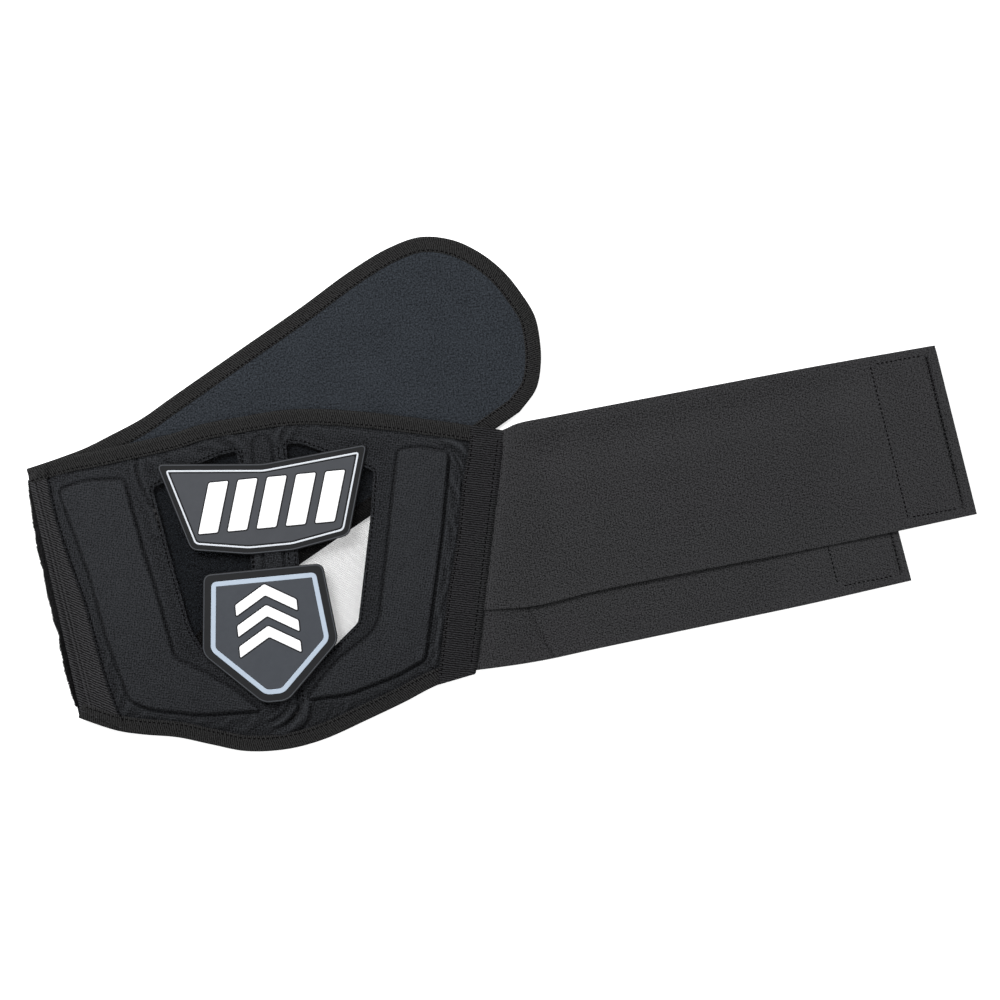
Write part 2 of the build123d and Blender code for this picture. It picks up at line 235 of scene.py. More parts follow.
def inside(points, outline):
    """Which points lie in a closed outline."""
    found = np.zeros(len(points), bool)
    x, y = points[:, 0], points[:, 1]
    for (x0, y0), (x1, y1) in zip(outline, np.roll(outline, -1, 0)):
        if y0 != y1:
            crossing = (y0 > y) != (y1 > y)
            found ^= crossing & (x < (x1 - x0) * (y - y0) / (y1 - y0) + x0)
    return found


def distance(points, line, closed=False, limit=60.0):
    """Distance to a polyline, at most limit."""
    line = np.array(line, float)
    near = np.all((points > line.min(0) - limit) & (points < line.max(0) + limit), axis=1)
    best = np.full(len(points), limit * limit)
    p = points[near]
    square = best[near]
    ends = np.roll(line, -1, 0) if closed else line[1:]
    for start, finish in zip(line, ends):
        run = finish - start
        t = np.clip(((p - start) @ run) / max(run @ run, 1e-12), 0, 1)
        away = p - start - t[:, None] * run
        square = np.minimum(square, np.einsum("ij,ij->i", away, away))
    best[near] = square
    return np.sqrt(best)


def signed(points, outline, limit=60.0):
    """Distance to a closed outline, negative inside it."""
    away = distance(points, outline, closed=True, limit=limit)
    return np.where(inside(points, outline), -away, away)


def smooth(low, high, value):
    """0 at low to 1 at high, with a level start and end."""
    t = np.clip((value - low) / (high - low), 0, 1)
    return t * t * (3 - 2 * t)


def bell(value, width):
    """1 where the value is 0, falling off over a width."""
    return np.exp(-(value / width) ** 2)


def on_seam(seam, y, sideways=0.0):
    """Point of a seam at a given y, moved at right angles towards the straps."""
    (upper_x, upper_y), (lower_x, lower_y) = seam
    run = math.hypot(upper_x - lower_x, upper_y - lower_y)
    share = (upper_y - y) / (upper_y - lower_y)
    x = upper_x + share * (lower_x - upper_x)
    return (x + sideways * (upper_y - lower_y) / run, y - sideways * (upper_x - lower_x) / run)


def seam_run(seam):
    """Unit direction down a seam."""
    run = np.array(seam[1], float) - np.array(seam[0], float)
    return run / np.linalg.norm(run)


def seam_side(seam):
    """Unit direction across a seam, towards the straps."""
    run = seam_run(seam)
    return np.array([-run[1], run[0]])


def past_seam(points, seam):
    """How far points lie to the strap side of a seam."""
    return (points - np.array(seam[0], float)) @ seam_side(seam)


def ripple(points, size, seed):
    """Soft value noise between -1 and 1, the same each run."""
    grid = np.random.default_rng(seed).random((64, 64))
    cell = points / size + 1000
    low = np.floor(cell).astype(int)
    t = cell - low
    t = t * t * (3 - 2 * t)
    a, b = low % 64, (low + 1) % 64
    top = grid[a[:, 0], a[:, 1]] * (1 - t[:, 0]) + grid[b[:, 0], a[:, 1]] * t[:, 0]
    bottom = grid[a[:, 0], b[:, 1]] * (1 - t[:, 0]) + grid[b[:, 0], b[:, 1]] * t[:, 0]
    return 2 * (top * (1 - t[:, 1]) + bottom * t[:, 1]) - 1


# ---------------------------------------------------------------- outlines and surfaces of the belt
panel_top_line = along(PANEL_TOP, 1.5)
panel_bottom_line = along(PANEL_BOTTOM_EDGE, 1.5)
panel_outline = even(np.vstack([panel_top_line, panel_bottom_line]), 1.5, closed=True)
flap_upper_line = along((on_seam(FOLD_SEAM, FOLD_SEAM[0][1], 0.3),) + FLAP_UPPER_RUN + FLAP_ROUND_END, 1.5)
flap_lower_line = even([FLAP_ROUND_END[-1], *FLAP_LOWER_RUN, on_seam(FOLD_SEAM, FOLD_SEAM[1][1], 0.3)], 1.5)
flap_free_line = np.vstack([flap_upper_line[:-1], flap_lower_line])
flap_outline = even(flap_free_line, 1.5, closed=True)
left_pad, right_pad = rounded(LEFT_PAD, 5), rounded(RIGHT_PAD, 5)
spine_pad = rounded(SPINE_PAD, 5)
window_left, window_right = rounded(WINDOW_LEFT, 3), rounded(WINDOW_RIGHT, 3)

BINDING = 11.0
WINDOW_STITCH = 2.1
LEFT_TAPE = ((-156.5, 100), (-152.5, 62), (-145.5, 28.5), (-137.5, -3), (-127.5, -60), (-117.5, -97))
RIGHT_TAPE = ((150.8, 97), (148, 80), (141.5, 56), (133.5, 16), (123.5, -21), (113.5, -67), (110, -86))
EXTRA_RIDGE = ((-90, 98), (-90.2, 86), (-88, 75.5), (-84.5, 66), (-80.5, 58), (-78, 44))

inner_edges = [moved(panel_top_line, BINDING), moved(panel_bottom_line, BINDING)]
inner_edges += [along(LEFT_TAPE, 3), along(RIGHT_TAPE, 3)]

# Folds pressed into the face: start, end, half width, height
FOLDS = (
    ((-30, 108), (-12, 96), 2.2, 1.1), ((-44, 103), (-28, 98), 2.2, 0.8),
    ((-66, 97), (-44, 92), 3.0, 0.7), ((-80, 96), (-72, 84), 2.6, 0.8), ((11, 100), (20, 111), 1.7, 1.3),
    ((18, 99), (27, 109), 1.8, 1.0), ((30, 108), (52, 98), 2.6, 0.6), ((58, 101), (84, 92), 3.0, 0.5),
    ((131, 89), (147, 75), 1.9, 2.2), ((147, 76), (144, 62), 1.5, 1.0), ((136, 78), (140, 50), 0.9, -1.5),
    ((140.5, 72), (142, 56), 1.9, 1.3), ((134.6, 59), (135.5, 36), 1.7, 1.3),
    ((138.5, 48), (134, 22), 1.4, 1.0), ((131, 34), (128, 4), 1.6, 1.2),
    ((133, 22), (124, -12), 1.3, 0.9), ((125, 4), (119, -24), 1.5, 1.1),
    ((124, -14), (115, -44), 1.5, 1.1), ((115, -30), (108, -62), 1.6, 1.2),
    ((112, -50), (107, -72), 1.2, 0.8), ((100, -74), (107, -82), 1.8, 0.8),
    ((70, -86), (84, -92), 2.2, 0.6), ((15, -89), (5, -105), 2.3, 2.4),
    ((7, -103), (-10, -110.5), 2.0, 1.9), ((11, -90), (-9, -106), 1.0, -1.6),
    ((18, -92), (9, -109), 0.9, -1.4), ((0, -92), (-16, -102), 1.1, -1.2),
    ((4, -94), (-12, -105), 1.6, 1.2), ((33, -92), (28, -103), 1.2, -0.9),
    ((44, -92), (39, -101), 1.6, 0.7), ((-22, -96), (-34, -105), 2.0, 0.9),
    ((-40, -95), (-54, -101), 2.0, 0.8), ((-60, -94), (-74, -99), 2.0, 0.7),
    ((-80, -92), (-92, -95), 2.0, 0.6), ((-100, -86), (-110, -91), 2.0, 0.7),
    ((-112, -79), (-122, -88), 2.0, 0.8), ((-118, -60), (-121, -78), 1.7, 0.7),
    ((-124, -34), (-126, -52), 1.6, 0.6), ((-131, 10), (-133, -10), 1.8, 0.5),
    ((-144, 66), (-147, 84), 1.8, 0.7), ((-150, 88), (-138, 92), 1.8, 0.7),
)
FLAP_FOLDS = (
    ((20, 120), (80, 190), 9, 0.45), ((70, 110), (120, 160), 8, 0.4), ((110, 150), (150, 200), 10, 0.35),
    ((-40, 112), (10, 150), 8, 0.4), ((120, 200), (150, 170), 5, 0.35), ((60, 150), (95, 128), 6, 0.3),
)


def sag(points):
    """How far the panel hangs down where the flap isn't under it."""
    beyond = distance(points, flap_lower_line, limit=90)
    beyond = np.where(inside(points, flap_outline), 0, beyond)
    below = (points[:, 1] < points[:, 0] * 0.56 + 4)
    return 3.2 * smooth(4, 62, beyond) * below * smooth(-8, -75, past_seam(points, STRAP_SEAM))


def folds_at(points, folds):
    """Height of listed folds, each a ridge that fades at its ends with a hollow each side."""
    height = np.zeros(len(points))
    for start, finish, width, rise in folds:
        width = 1.25 * width
        start, finish = np.array(start, float), np.array(finish, float)
        run = finish - start
        length = np.linalg.norm(run)
        t = ((points - start) @ run) / length ** 2
        near = (t > -0.4) & (t < 1.4)
        bow = 0.12 * length * np.sin(np.pi * np.clip(t, 0, 1))
        across = (points - start) @ np.array([-run[1], run[0]]) / length - bow
        fade = smooth(-0.3, 0.3, t) * smooth(1.3, 0.7, t) * near
        height += fade * rise * (bell(across, width) - 0.45 * bell(across - 2 * width, width)
                                 - 0.45 * bell(across + 2 * width, width))
    return height


def from_edge(points, limit):
    """Distance to the panel's bound edges, at most limit."""
    return np.minimum(*[distance(points, line, limit=limit) for line in (panel_top_line, panel_bottom_line)])


def edge_pinch(points):
    """How far the layers are pressed together near the bound edges."""
    return smooth(20.0, 3.0, from_edge(points, 40))


def pad_rise(points, outline, rise, shoulder, crown):
    """Moulded pad: tight shoulder, crowned top, narrow pressed groove round it."""
    away = signed(points, outline, limit=30)
    t = np.clip((away + shoulder) / shoulder, 0, 1)
    body = rise * np.sqrt(1 - t * t) * (away < 0) + crown * smooth(0, 22, -away)
    return body - 1.2 * bell(away - 0.4, 0.7) + 0.2 * bell(away - 5.0, 2.4) * (away > 0)


def panel_surface(points, relief=True):
    """Height of the panel's outer face."""
    height = FACE_TOP - sag(points) - 1.3 * edge_pinch(points)
    if not relief:
        return height
    height += pad_rise(points, left_pad, 3.2, 1.8, 1.0) + pad_rise(points, right_pad, 3.2, 1.8, 1.0)
    height += pad_rise(points, spine_pad, 1.6, 2.0, 0.3) * smooth(-100, -84, points[:, 1])
    for outline in (window_left, window_right):
        away = signed(points, outline, limit=20)
        height -= 0.4 * bell(away - WINDOW_STITCH, 0.6) + 0.7 * smooth(0.5, -0.3, away)
    away = distance(points, along(EXTRA_RIDGE, 2), limit=12)
    height += 0.6 * bell(away - 3.0, 2.0) - 1.2 * bell(away, 1.1)
    for line in inner_edges:
        height -= 0.6 * bell(distance(points, line, limit=8), 1.6)
    height = height + 0.95 * folds_at(points, FOLDS)
    return height + 0.22 * ripple(points, 9, 3) + 0.1 * ripple(points, 4.5, 5)


def face_painted_shade(points):
    """Painted shade in the narrow gaps where the face meets tapes, seams and grooves, and over the face
    beside the pads; the face is also darker towards the bottom of the panel.
    """
    beside = np.minimum(signed(points, left_pad, limit=8), signed(points, right_pad, limit=8))
    shade = 0.65 * smooth(0, 4, beside) + 0.3 * smooth(20, -70, points[:, 1])
    for line in inner_edges:
        shade = np.maximum(shade, 1.5 * bell(distance(points, line, limit=8) - 0.5, 0.9))
    for outline in (left_pad, right_pad):
        shade = np.maximum(shade, 0.85 * bell(signed(points, outline, limit=8) - 0.4, 0.6))
    shade = np.maximum(shade, 0.8 * bell(distance(points, along(EXTRA_RIDGE, 2), limit=8), 0.9))
    for outline in (window_left, window_right):
        shade = np.maximum(shade, 0.45 * bell(signed(points, outline, limit=8) - WINDOW_STITCH, 0.7))
    return shade


def panel_underside(points):
    """Height of the panel's lining side."""
    return PANEL_BOTTOM - sag(points) + 0.5 * edge_pinch(points) + 0.1 * ripple(points, 14, 9)


def flap_pinch(points):
    return bell(distance(points, flap_free_line, limit=40), 8.0)


def flap_surface(points):
    """Height of the flap's lining, which faces up."""
    height = FLAP_TOP - 0.9 * flap_pinch(points)
    height = height + 0.12 * ripple(points, 16, 11) + 0.05 * ripple(points, 5, 12)
    under_panel = inside(points, panel_outline)
    return height + folds_at(points, FLAP_FOLDS) * ~under_panel


# ---------------------------------------------------------------- mesh making
# Share of the painted highlight on ridges, against the painted shade in hollows
PAINTED_HIGHLIGHT_SHARE = 0.5


def painted_shade_and_highlight(points, faces, full=0.6):
    """How far each point stands above (to 1) or below (to -1) the cloth round it, used as painted highlight
    on ridges and painted shade in hollows.
    """
    triangles = np.array([face[:3] for face in faces])
    edges = np.concatenate([triangles[:, [0, 1]], triangles[:, [1, 2]], triangles[:, [2, 0]]])
    edges = np.unique(np.sort(edges, axis=1), axis=0)
    level = (np.abs(points[edges[:, 0], 2] - points[edges[:, 1], 2])
             < 2.0 * np.linalg.norm(points[edges[:, 0], :2] - points[edges[:, 1], :2], axis=1) + 1e-6)
    edges = edges[level]
    count = np.bincount(edges.ravel(), minlength=len(points)) + 1.0
    height = points[:, 2].copy()
    for _ in range(RELIEF_ROUNDS):
        total = height.copy()
        total += np.bincount(edges[:, 0], height[edges[:, 1]], len(points))
        total += np.bincount(edges[:, 1], height[edges[:, 0]], len(points))
        height = total / count
    stands = (points[:, 2] - height) / full
    return np.clip(np.where(stands > 0, PAINTED_HIGHLIGHT_SHARE * stands, stands), -1, 1)


def make_object(name, points, faces, uv, material, body=None, slot=None, nodes=(), shade=True, dark=None):
    """Mesh object from points in sheet millimetres, with UVs in metres along the cloth."""
    placed = np.array(points, float)
    # Painted shade in hollows and painted highlight on ridges, kept as the relief attribute; dark darkens it
    # further where given, mostly with painted shade
    relief = painted_shade_and_highlight(placed, faces)
    if dark:
        relief = np.clip(relief - dark(placed[:, :2]), -1, 1)
    placed[:, :2] += SHEET_ORIGIN
    mesh = bpy.data.meshes.new(name)
    faces = [list(map(int, face)) for face in faces]
    mesh.from_pydata((placed * MM).tolist(), [], faces)
    layer = mesh.uv_layers.new(name="cloth")
    corner_vertices = np.zeros(len(mesh.loops), np.int32)
    mesh.loops.foreach_get("vertex_index", corner_vertices)
    layer.data.foreach_set("uv", (np.array(uv, float)[corner_vertices] * MM).astype(np.float32).ravel())
    mesh.polygons.foreach_set("use_smooth", [shade] * len(faces))
    mesh.materials.append(material)
    mesh.attributes.new("relief", "FLOAT", "POINT").data.foreach_set("value", relief.astype(np.float32))
    mesh.validate()
    obj = bpy.data.objects.new(name, mesh)
    bpy.context.scene.collection.objects.link(obj)
    if body:
        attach(obj, body)
    if nodes:
        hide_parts(*nodes)
    return obj


def triangulate(outer, holes, spacing, guides=()):
    """Fine even triangles that fill an outline, with edges along the guides."""
    low, high = outer.min(0), outer.max(0)
    rows = np.arange(low[1], high[1], spacing * 0.866)
    grid = []
    for index, y in enumerate(rows):
        x = np.arange(low[0] + (index % 2) * spacing / 2, high[0], spacing)
        grid.append(np.stack([x, np.full(len(x), y)], axis=1))
    grid = np.vstack(grid)
    grid = grid[inside(grid, outer)]
    loops = [(outer, True)] + [(hole, True) for hole in holes] + list(guides)
    for line, closed in loops:
        grid = grid[distance(grid, line, closed=closed, limit=spacing) > 0.55 * spacing]
    for hole in holes:
        grid = grid[~inside(grid, hole)]
    points, edges = [], []
    for line, closed in loops:
        start = sum(len(p) for p in points)
        count = len(line)
        points.append(np.array(line))
        edges += [(start + k, start + k + 1) for k in range(count - 1)]
        if closed:
            edges.append((start + count - 1, start))
    points.append(grid)
    flat = np.vstack(points)
    made = delaunay_2d_cdt([Vector(p) for p in flat], edges, [], 0, 1e-4, False)
    verts = np.array([tuple(v) for v in made[0]])
    triangles = np.array([f for f in made[2] if len(f) == 3])
    middle = verts[triangles].mean(1)
    keep = inside(middle, outer)
    for hole in holes:
        keep &= ~inside(middle, hole)
    triangles = triangles[keep]
    used, triangles = np.unique(triangles, return_inverse=True)
    triangles = triangles.reshape(-1, 3)
    verts = verts[used]
    a, b, c = verts[triangles[:, 0]], verts[triangles[:, 1]], verts[triangles[:, 2]]
    turn = (b[:, 0] - a[:, 0]) * (c[:, 1] - a[:, 1]) - (b[:, 1] - a[:, 1]) * (c[:, 0] - a[:, 0])
    triangles[turn < 0] = triangles[turn < 0][:, ::-1]
    return verts, triangles


def rim_of(triangles):
    """Boundary edges of a triangle mesh, in the direction their triangle has them."""
    edges = np.concatenate([triangles[:, [0, 1]], triangles[:, [1, 2]], triangles[:, [2, 0]]])
    key = np.sort(edges, axis=1)
    _, first, counts = np.unique(key, axis=0, return_index=True, return_counts=True)
    return edges[first[counts == 1]]


def closed_sheet(flat, triangles, over, under):
    """Points, faces and UVs of a closed sheet between two heights."""
    count = len(flat)
    points = np.vstack([np.column_stack([flat, over]), np.column_stack([flat, under])])
    faces = [tuple(t) for t in triangles] + [tuple(t[::-1] + count) for t in triangles]
    faces += [(b, a, a + count, b + count) for a, b in rim_of(triangles)]
    return points, faces, np.vstack([flat, flat])


def shell_faces(rows, columns):
    """Faces of a closed shell made of two equal grids of points, the outer one first."""
    count = rows * columns
    index = np.arange(count).reshape(rows, columns)
    corners = (index[:-1, :-1], index[1:, :-1], index[1:, 1:], index[:-1, 1:])
    a, b, c, d = (corner.ravel() for corner in corners)
    faces = [tuple(face) for face in np.stack([a, b, c, d], axis=1)]
    faces += [tuple(face) for face in np.stack([a, d, c, b], axis=1) + count]
    rim = np.concatenate([index[0], index[1:, -1], index[-1, -2::-1], index[-2:0:-1, 0]])
    return faces + [(p, q, q + count, p + count) for p, q in zip(rim, np.roll(rim, -1))]


def tube_faces(start, sides, rings):
    """Faces of a capped tube whose points are numbered ring by ring from start."""
    faces = []
    for a in range(start, start + sides * (rings - 1), sides):
        b = a + sides
        faces += [(a + j, a + (j + 1) % sides, b + (j + 1) % sides, b + j) for j in range(sides)]
    last = start + sides * (rings - 1)
    return faces + [tuple(range(start, start + sides))[::-1], tuple(range(last, last + sides))]


def soften(obj, angle=50):
    """Smooth shading that stops at sharp folds."""
    obj.data.set_sharp_from_angle(angle=math.radians(angle))
    return obj


def join_parts(parts):
    """One mesh's points, faces and UVs from several."""
    points, faces, uv, start = [], [], [], 0
    for part_points, part_faces, part_uv in parts:
        points.append(part_points)
        uv.append(part_uv)
        faces += [tuple(index + start for index in face) for face in part_faces]
        start += len(part_points)
    return np.vstack(points), faces, np.vstack(uv)


# ---------------------------------------------------------------- materials
def link(tree, value, socket):
    if isinstance(value, (int, float)):
        socket.default_value = value
    else:
        tree.links.new(value, socket)


def maths(tree, operation, *values, clamp=False):
    node = tree.nodes.new("ShaderNodeMath")
    node.operation = operation
    node.use_clamp = clamp
    for value, socket in zip(values, node.inputs):
        link(tree, value, socket)
    return node.outputs[0]


def linear(tone):
    return tuple((c / 255) ** 2.2 for c in tone) + (1.0,)


def scaled(base, share, lift=0.0):
    """Colour with its three parts multiplied and lifted, none above 1."""
    return tuple(min(1.0, c * share + lift) for c in base[:3]) + (1.0,)


def blend_colours(tree, factor, low, high):
    node = tree.nodes.new("ShaderNodeMix")
    node.data_type = "RGBA"
    link(tree, factor, node.inputs["Factor"])
    for value, socket in ((low, node.inputs["A"]), (high, node.inputs["B"])):
        if isinstance(value, tuple):
            socket.default_value = value
        else:
            tree.links.new(value, socket)
    return node.outputs["Result"]


def add_bump(tree, shader, height, depth, strength=1.0):
    bump = tree.nodes.new("ShaderNodeBump")
    bump.inputs["Distance"].default_value = depth
    bump.inputs["Strength"].default_value = strength
    tree.links.new(height, bump.inputs["Height"])
    tree.links.new(bump.outputs["Normal"], shader.inputs["Normal"])


def start_material(name, roughness, sheen=0.0, shine=0.06):
    """New material with its node tree and its shader, nearly without gloss."""
    material = bpy.data.materials.new(name)
    material.use_nodes = True
    tree = material.node_tree
    shader = next(node for node in tree.nodes if node.type == "BSDF_PRINCIPLED")
    shader.inputs["Roughness"].default_value = roughness
    shader.inputs["Specular IOR Level"].default_value = shine
    shader.inputs["Sheen Weight"].default_value = sheen
    shader.inputs["Sheen Roughness"].default_value = 0.5
    return material, tree, shader


def cloth_axes(tree):
    """Distances along and across the cloth, in metres."""
    node = tree.nodes.new("ShaderNodeUVMap")
    node.uv_map = "cloth"
    split = tree.nodes.new("ShaderNodeSeparateXYZ")
    tree.links.new(node.outputs["UV"], split.inputs[0])
    return node.outputs["UV"], split.outputs[0], split.outputs[1]


def noise(tree, vector, size, detail=2.0, rough=0.5):
    """Noise from 0 to 1 with features of about size metres."""
    node = tree.nodes.new("ShaderNodeTexNoise")
    tree.links.new(vector, node.inputs["Vector"])
    node.inputs["Scale"].default_value = 1 / size
    node.inputs["Detail"].default_value = detail
    node.inputs["Roughness"].default_value = rough
    return node.outputs["Fac"]


def plain_weave(tree, u, v, pitch):
    """Yarns that pass over and under each other."""
    a, b = maths(tree, "DIVIDE", u, pitch), maths(tree, "DIVIDE", v, pitch)
    over = maths(tree, "PINGPONG", maths(tree, "ADD", maths(tree, "FLOOR", a), maths(tree, "FLOOR", b)), 1)
    warp = maths(tree, "ABSOLUTE", maths(tree, "SINE", maths(tree, "MULTIPLY", a, math.pi)))
    weft = maths(tree, "ABSOLUTE", maths(tree, "SINE", maths(tree, "MULTIPLY", b, math.pi)))
    rest = maths(tree, "SUBTRACT", 1.0, over)
    return maths(tree, "ADD", maths(tree, "MULTIPLY", warp, over), maths(tree, "MULTIPLY", weft, rest))


def ribs(tree, u, v, pitch, angle):
    """Parallel ribs, at an angle to the cloth's length."""
    turned = maths(tree, "MULTIPLY_ADD", u, math.cos(angle), maths(tree, "MULTIPLY", v, math.sin(angle)))
    wander = maths(tree, "MULTIPLY", noise(tree, cloth_axes(tree)[0], 0.004), 0.9 * pitch)
    turned = maths(tree, "MULTIPLY", maths(tree, "ADD", turned, wander), 2 * math.pi / pitch)
    wave = maths(tree, "SINE", turned)
    return maths(tree, "MULTIPLY_ADD", wave, 0.5, 0.5)


def knit(tree, u, v, pitch):
    """Columns of small V-shaped loops."""
    column = maths(tree, "ABSOLUTE", maths(tree, "SINE", maths(tree, "MULTIPLY", u, math.pi / pitch)))
    row = maths(tree, "MULTIPLY_ADD", column, 0.5 * pitch, v)
    loop = maths(tree, "ABSOLUTE", maths(tree, "SINE", maths(tree, "MULTIPLY", row, math.pi / pitch)))
    return maths(tree, "MULTIPLY", loop, maths(tree, "MULTIPLY_ADD", column, 0.6, 0.4))


def cloth_material(name, tone, weave, depth, contrast=0.4, mottle=1.0, grain=0.0012,
                   roughness=0.95, sheen=0.0):
    """Cloth with its weave in colour and relief, yarn grain, lint, painted highlight on ridges and painted
    shade in creases.
    """
    material, tree, shader = start_material(name, roughness, sheen)
    vector, u, v = cloth_axes(tree)
    height = weave(tree, u, v)
    fine = noise(tree, vector, grain, 2.0, 0.7)
    broad = noise(tree, vector, 0.03, 3.0, 0.6)
    # Painted shade in creases and painted highlight on ridges, read from the relief attribute
    stands = tree.nodes.new("ShaderNodeAttribute")
    stands.attribute_name = "relief"
    lift = maths(tree, "MULTIPLY", maths(tree, "SUBTRACT", height, 0.5), contrast)
    lift = maths(tree, "MULTIPLY_ADD", maths(tree, "SUBTRACT", fine, 0.5), 2 * mottle, lift)
    lift = maths(tree, "MULTIPLY_ADD", maths(tree, "SUBTRACT", broad, 0.5), 0.18, lift)
    lift = maths(tree, "MULTIPLY_ADD", stands.outputs["Fac"], 0.42, lift)
    factor = maths(tree, "ADD", lift, 0.5, clamp=True)
    base = linear(tone)
    colour = blend_colours(tree, factor, scaled(base, 0.12), scaled(base, 1.88))
    lint = noise(tree, vector, 0.0016, 1.0, 0.4)
    lint = maths(tree, "MULTIPLY", maths(tree, "SUBTRACT", lint, 0.78), 3.0, clamp=True)
    colour = blend_colours(tree, lint, colour, scaled(base, 3.0, 0.01))
    tree.links.new(colour, shader.inputs["Base Color"])
    worn = maths(tree, "MULTIPLY_ADD", broad, 0.12, roughness - 0.06)
    tree.links.new(worn, shader.inputs["Roughness"])
    add_bump(tree, shader, maths(tree, "MULTIPLY_ADD", fine, 0.5, height), depth, 0.8)
    return material


def rubber_material(name, tone, roughness=0.5, wear=0.25):
    """Moulded rubber with a fine grain, dust and scuffs."""
    material, tree, shader = start_material(name, roughness, shine=0.2)
    vector = tree.nodes.new("ShaderNodeTexCoord").outputs["Object"]
    grain = noise(tree, vector, 0.0004, 2.0, 0.6)
    dust = noise(tree, vector, 0.012, 5.0, 0.65)
    scuffs = noise(tree, vector, 0.0025, 3.0, 0.7)
    base = linear(tone)
    factor = maths(tree, "MULTIPLY_ADD", maths(tree, "SUBTRACT", dust, 0.5), wear * 2.4, 0.5)
    factor = maths(tree, "MULTIPLY_ADD", maths(tree, "SUBTRACT", scuffs, 0.5), wear * 1.4, factor, clamp=True)
    colour = blend_colours(tree, factor, scaled(base, 0.82), scaled(base, 1.16, 0.004))
    tree.links.new(colour, shader.inputs["Base Color"])
    tree.links.new(maths(tree, "MULTIPLY_ADD", scuffs, 0.3, roughness - 0.15), shader.inputs["Roughness"])
    add_bump(tree, shader, grain, 0.00006, 0.5)
    return material


def mesh_material(name, tone, pitch, hole):
    """Sheer knitted mesh: rows of round holes between fine yarns."""
    material, tree, shader = start_material(name, 0.9)
    vector, u, v = cloth_axes(tree)
    row = maths(tree, "FLOOR", maths(tree, "DIVIDE", v, 0.866 * pitch))
    shift = maths(tree, "MULTIPLY", maths(tree, "PINGPONG", row, 1), 0.5 * pitch)
    across = maths(tree, "PINGPONG", maths(tree, "ADD", maths(tree, "ADD", u, shift), 10.0), 0.5 * pitch)
    along_v = maths(tree, "SUBTRACT", v, maths(tree, "MULTIPLY", row, 0.866 * pitch))
    offset = maths(tree, "SUBTRACT", along_v, 0.433 * pitch)
    square = maths(tree, "MULTIPLY_ADD", across, across, maths(tree, "MULTIPLY", offset, offset))
    away = maths(tree, "SQRT", square)
    yarn = maths(tree, "MULTIPLY", maths(tree, "SUBTRACT", away, hole), 1 / (0.12 * pitch), clamp=True)
    tree.links.new(yarn, shader.inputs["Alpha"])
    fine = noise(tree, vector, 0.0006, 2.0, 0.6)
    base = linear(tone)
    colour = blend_colours(tree, fine, scaled(base, 0.6), scaled(base, 1.5))
    tree.links.new(colour, shader.inputs["Base Color"])
    add_bump(tree, shader, away, 0.0001)
    return material


FACE = cloth_material(
    "face_cloth", (39, 40, 42), lambda t, u, v: plain_weave(t, u, v, 0.0012), 0.00016, 1.1, 2.0, 0.0011)
LINING = cloth_material(
    "lining_cloth", (43, 46, 50), lambda t, u, v: knit(t, u, v, 0.0009), 0.00014, 0.4, 1.3)
PILE = cloth_material(
    "loop_cloth", (24, 24, 25), lambda t, u, v: knit(t, u, v, 0.0016), 0.0004, 0.9, 2.0, 0.0014, 0.95, 0.02)
BINDING_TAPE = cloth_material(
    "binding_tape", (36, 36, 36), lambda t, u, v: ribs(t, u, v, 0.0015, math.radians(18)), 0.0003, 0.9, 1.4)
SIDE_TAPE = cloth_material(
    "side_tape", (36, 36, 37), lambda t, u, v: ribs(t, u, v, 0.0016, math.radians(0)), 0.0004, 1.0, 1.3)
LEFT_TAPE_CLOTH = cloth_material(
    "left_tape_cloth", (43, 43, 44),
    lambda t, u, v: ribs(t, u, v, 0.0016, math.radians(-35)), 0.0003, 1.2, 1.4)
ELASTIC_CLOTH = cloth_material(
    "elastic_webbing", (44, 44, 45), lambda t, u, v: plain_weave(t, u, v, 0.0012), 0.00018, 0.9, 2.2, 0.0011)
THREAD = cloth_material(
    "thread", (6, 6, 7), lambda t, u, v: ribs(t, u, v, 0.0005, math.radians(40)), 0.0001, 0.6, 0.3)
FOAM = cloth_material("foam", (44, 44, 45), lambda t, u, v: knit(t, u, v, 0.0012), 0.0002, 0.5, 1.0)
HOOKS = rubber_material("hook_tape", (20, 20, 21), 0.55)
MESH = mesh_material("mesh_cloth", (13, 12, 12), 0.0009, 0.00033)
BLACK_RUBBER = rubber_material("black_rubber", (18, 19, 21), 0.6)
PALE_RUBBER = rubber_material("pale_rubber", (190, 194, 200), 0.5, 0.15)
GREY_RUBBER = rubber_material("grey_rubber", (60, 62, 66), 0.55)
WHITE_RUBBER = rubber_material("white_rubber", (232, 232, 234), 0.45, 0.1)
DARK_RUBBER = rubber_material("dark_rubber", (24, 25, 27), 0.6)
RING_RUBBER = rubber_material("blue_grey_rubber", (158, 170, 184), 0.5, 0.15)
SLATE_RUBBER = rubber_material("slate_rubber", (58, 61, 66), 0.55)


# ---------------------------------------------------------------- flap
CLOTH = 0.6
TAPE_CLOTH = 0.4
GRID = 1.1
COARSE = 2 * GRID
TAPE_GRID = 0.85
RELIEF_ROUNDS = 14
EDGE_GAP = 0.8


def level(height):
    """Height function that is the same all over."""
    return lambda points: np.full(len(points), height)


def cloth_region(outline, holes, spacing, over, under, guides=()):
    """Closed sheet over a region with holes, between two height functions."""
    flat, triangles = triangulate(outline, holes, spacing, guides)
    return closed_sheet(flat, triangles, over(flat), under(flat))


flap_region = even(grown(flap_outline, -EDGE_GAP), GRID, closed=True)
flap_lining = soften(make_object(
    "flap_lining", *cloth_region(flap_region, [], GRID, flap_surface, lambda p: flap_surface(p) - CLOTH),
    LINING, "flap", "lining_cloth", ["flap_lining"]))


def flap_under(points):
    """Height of the loop face's outer side."""
    return 0.3 * smooth(14, 8, distance(points, flap_free_line, limit=20)) + 0.02


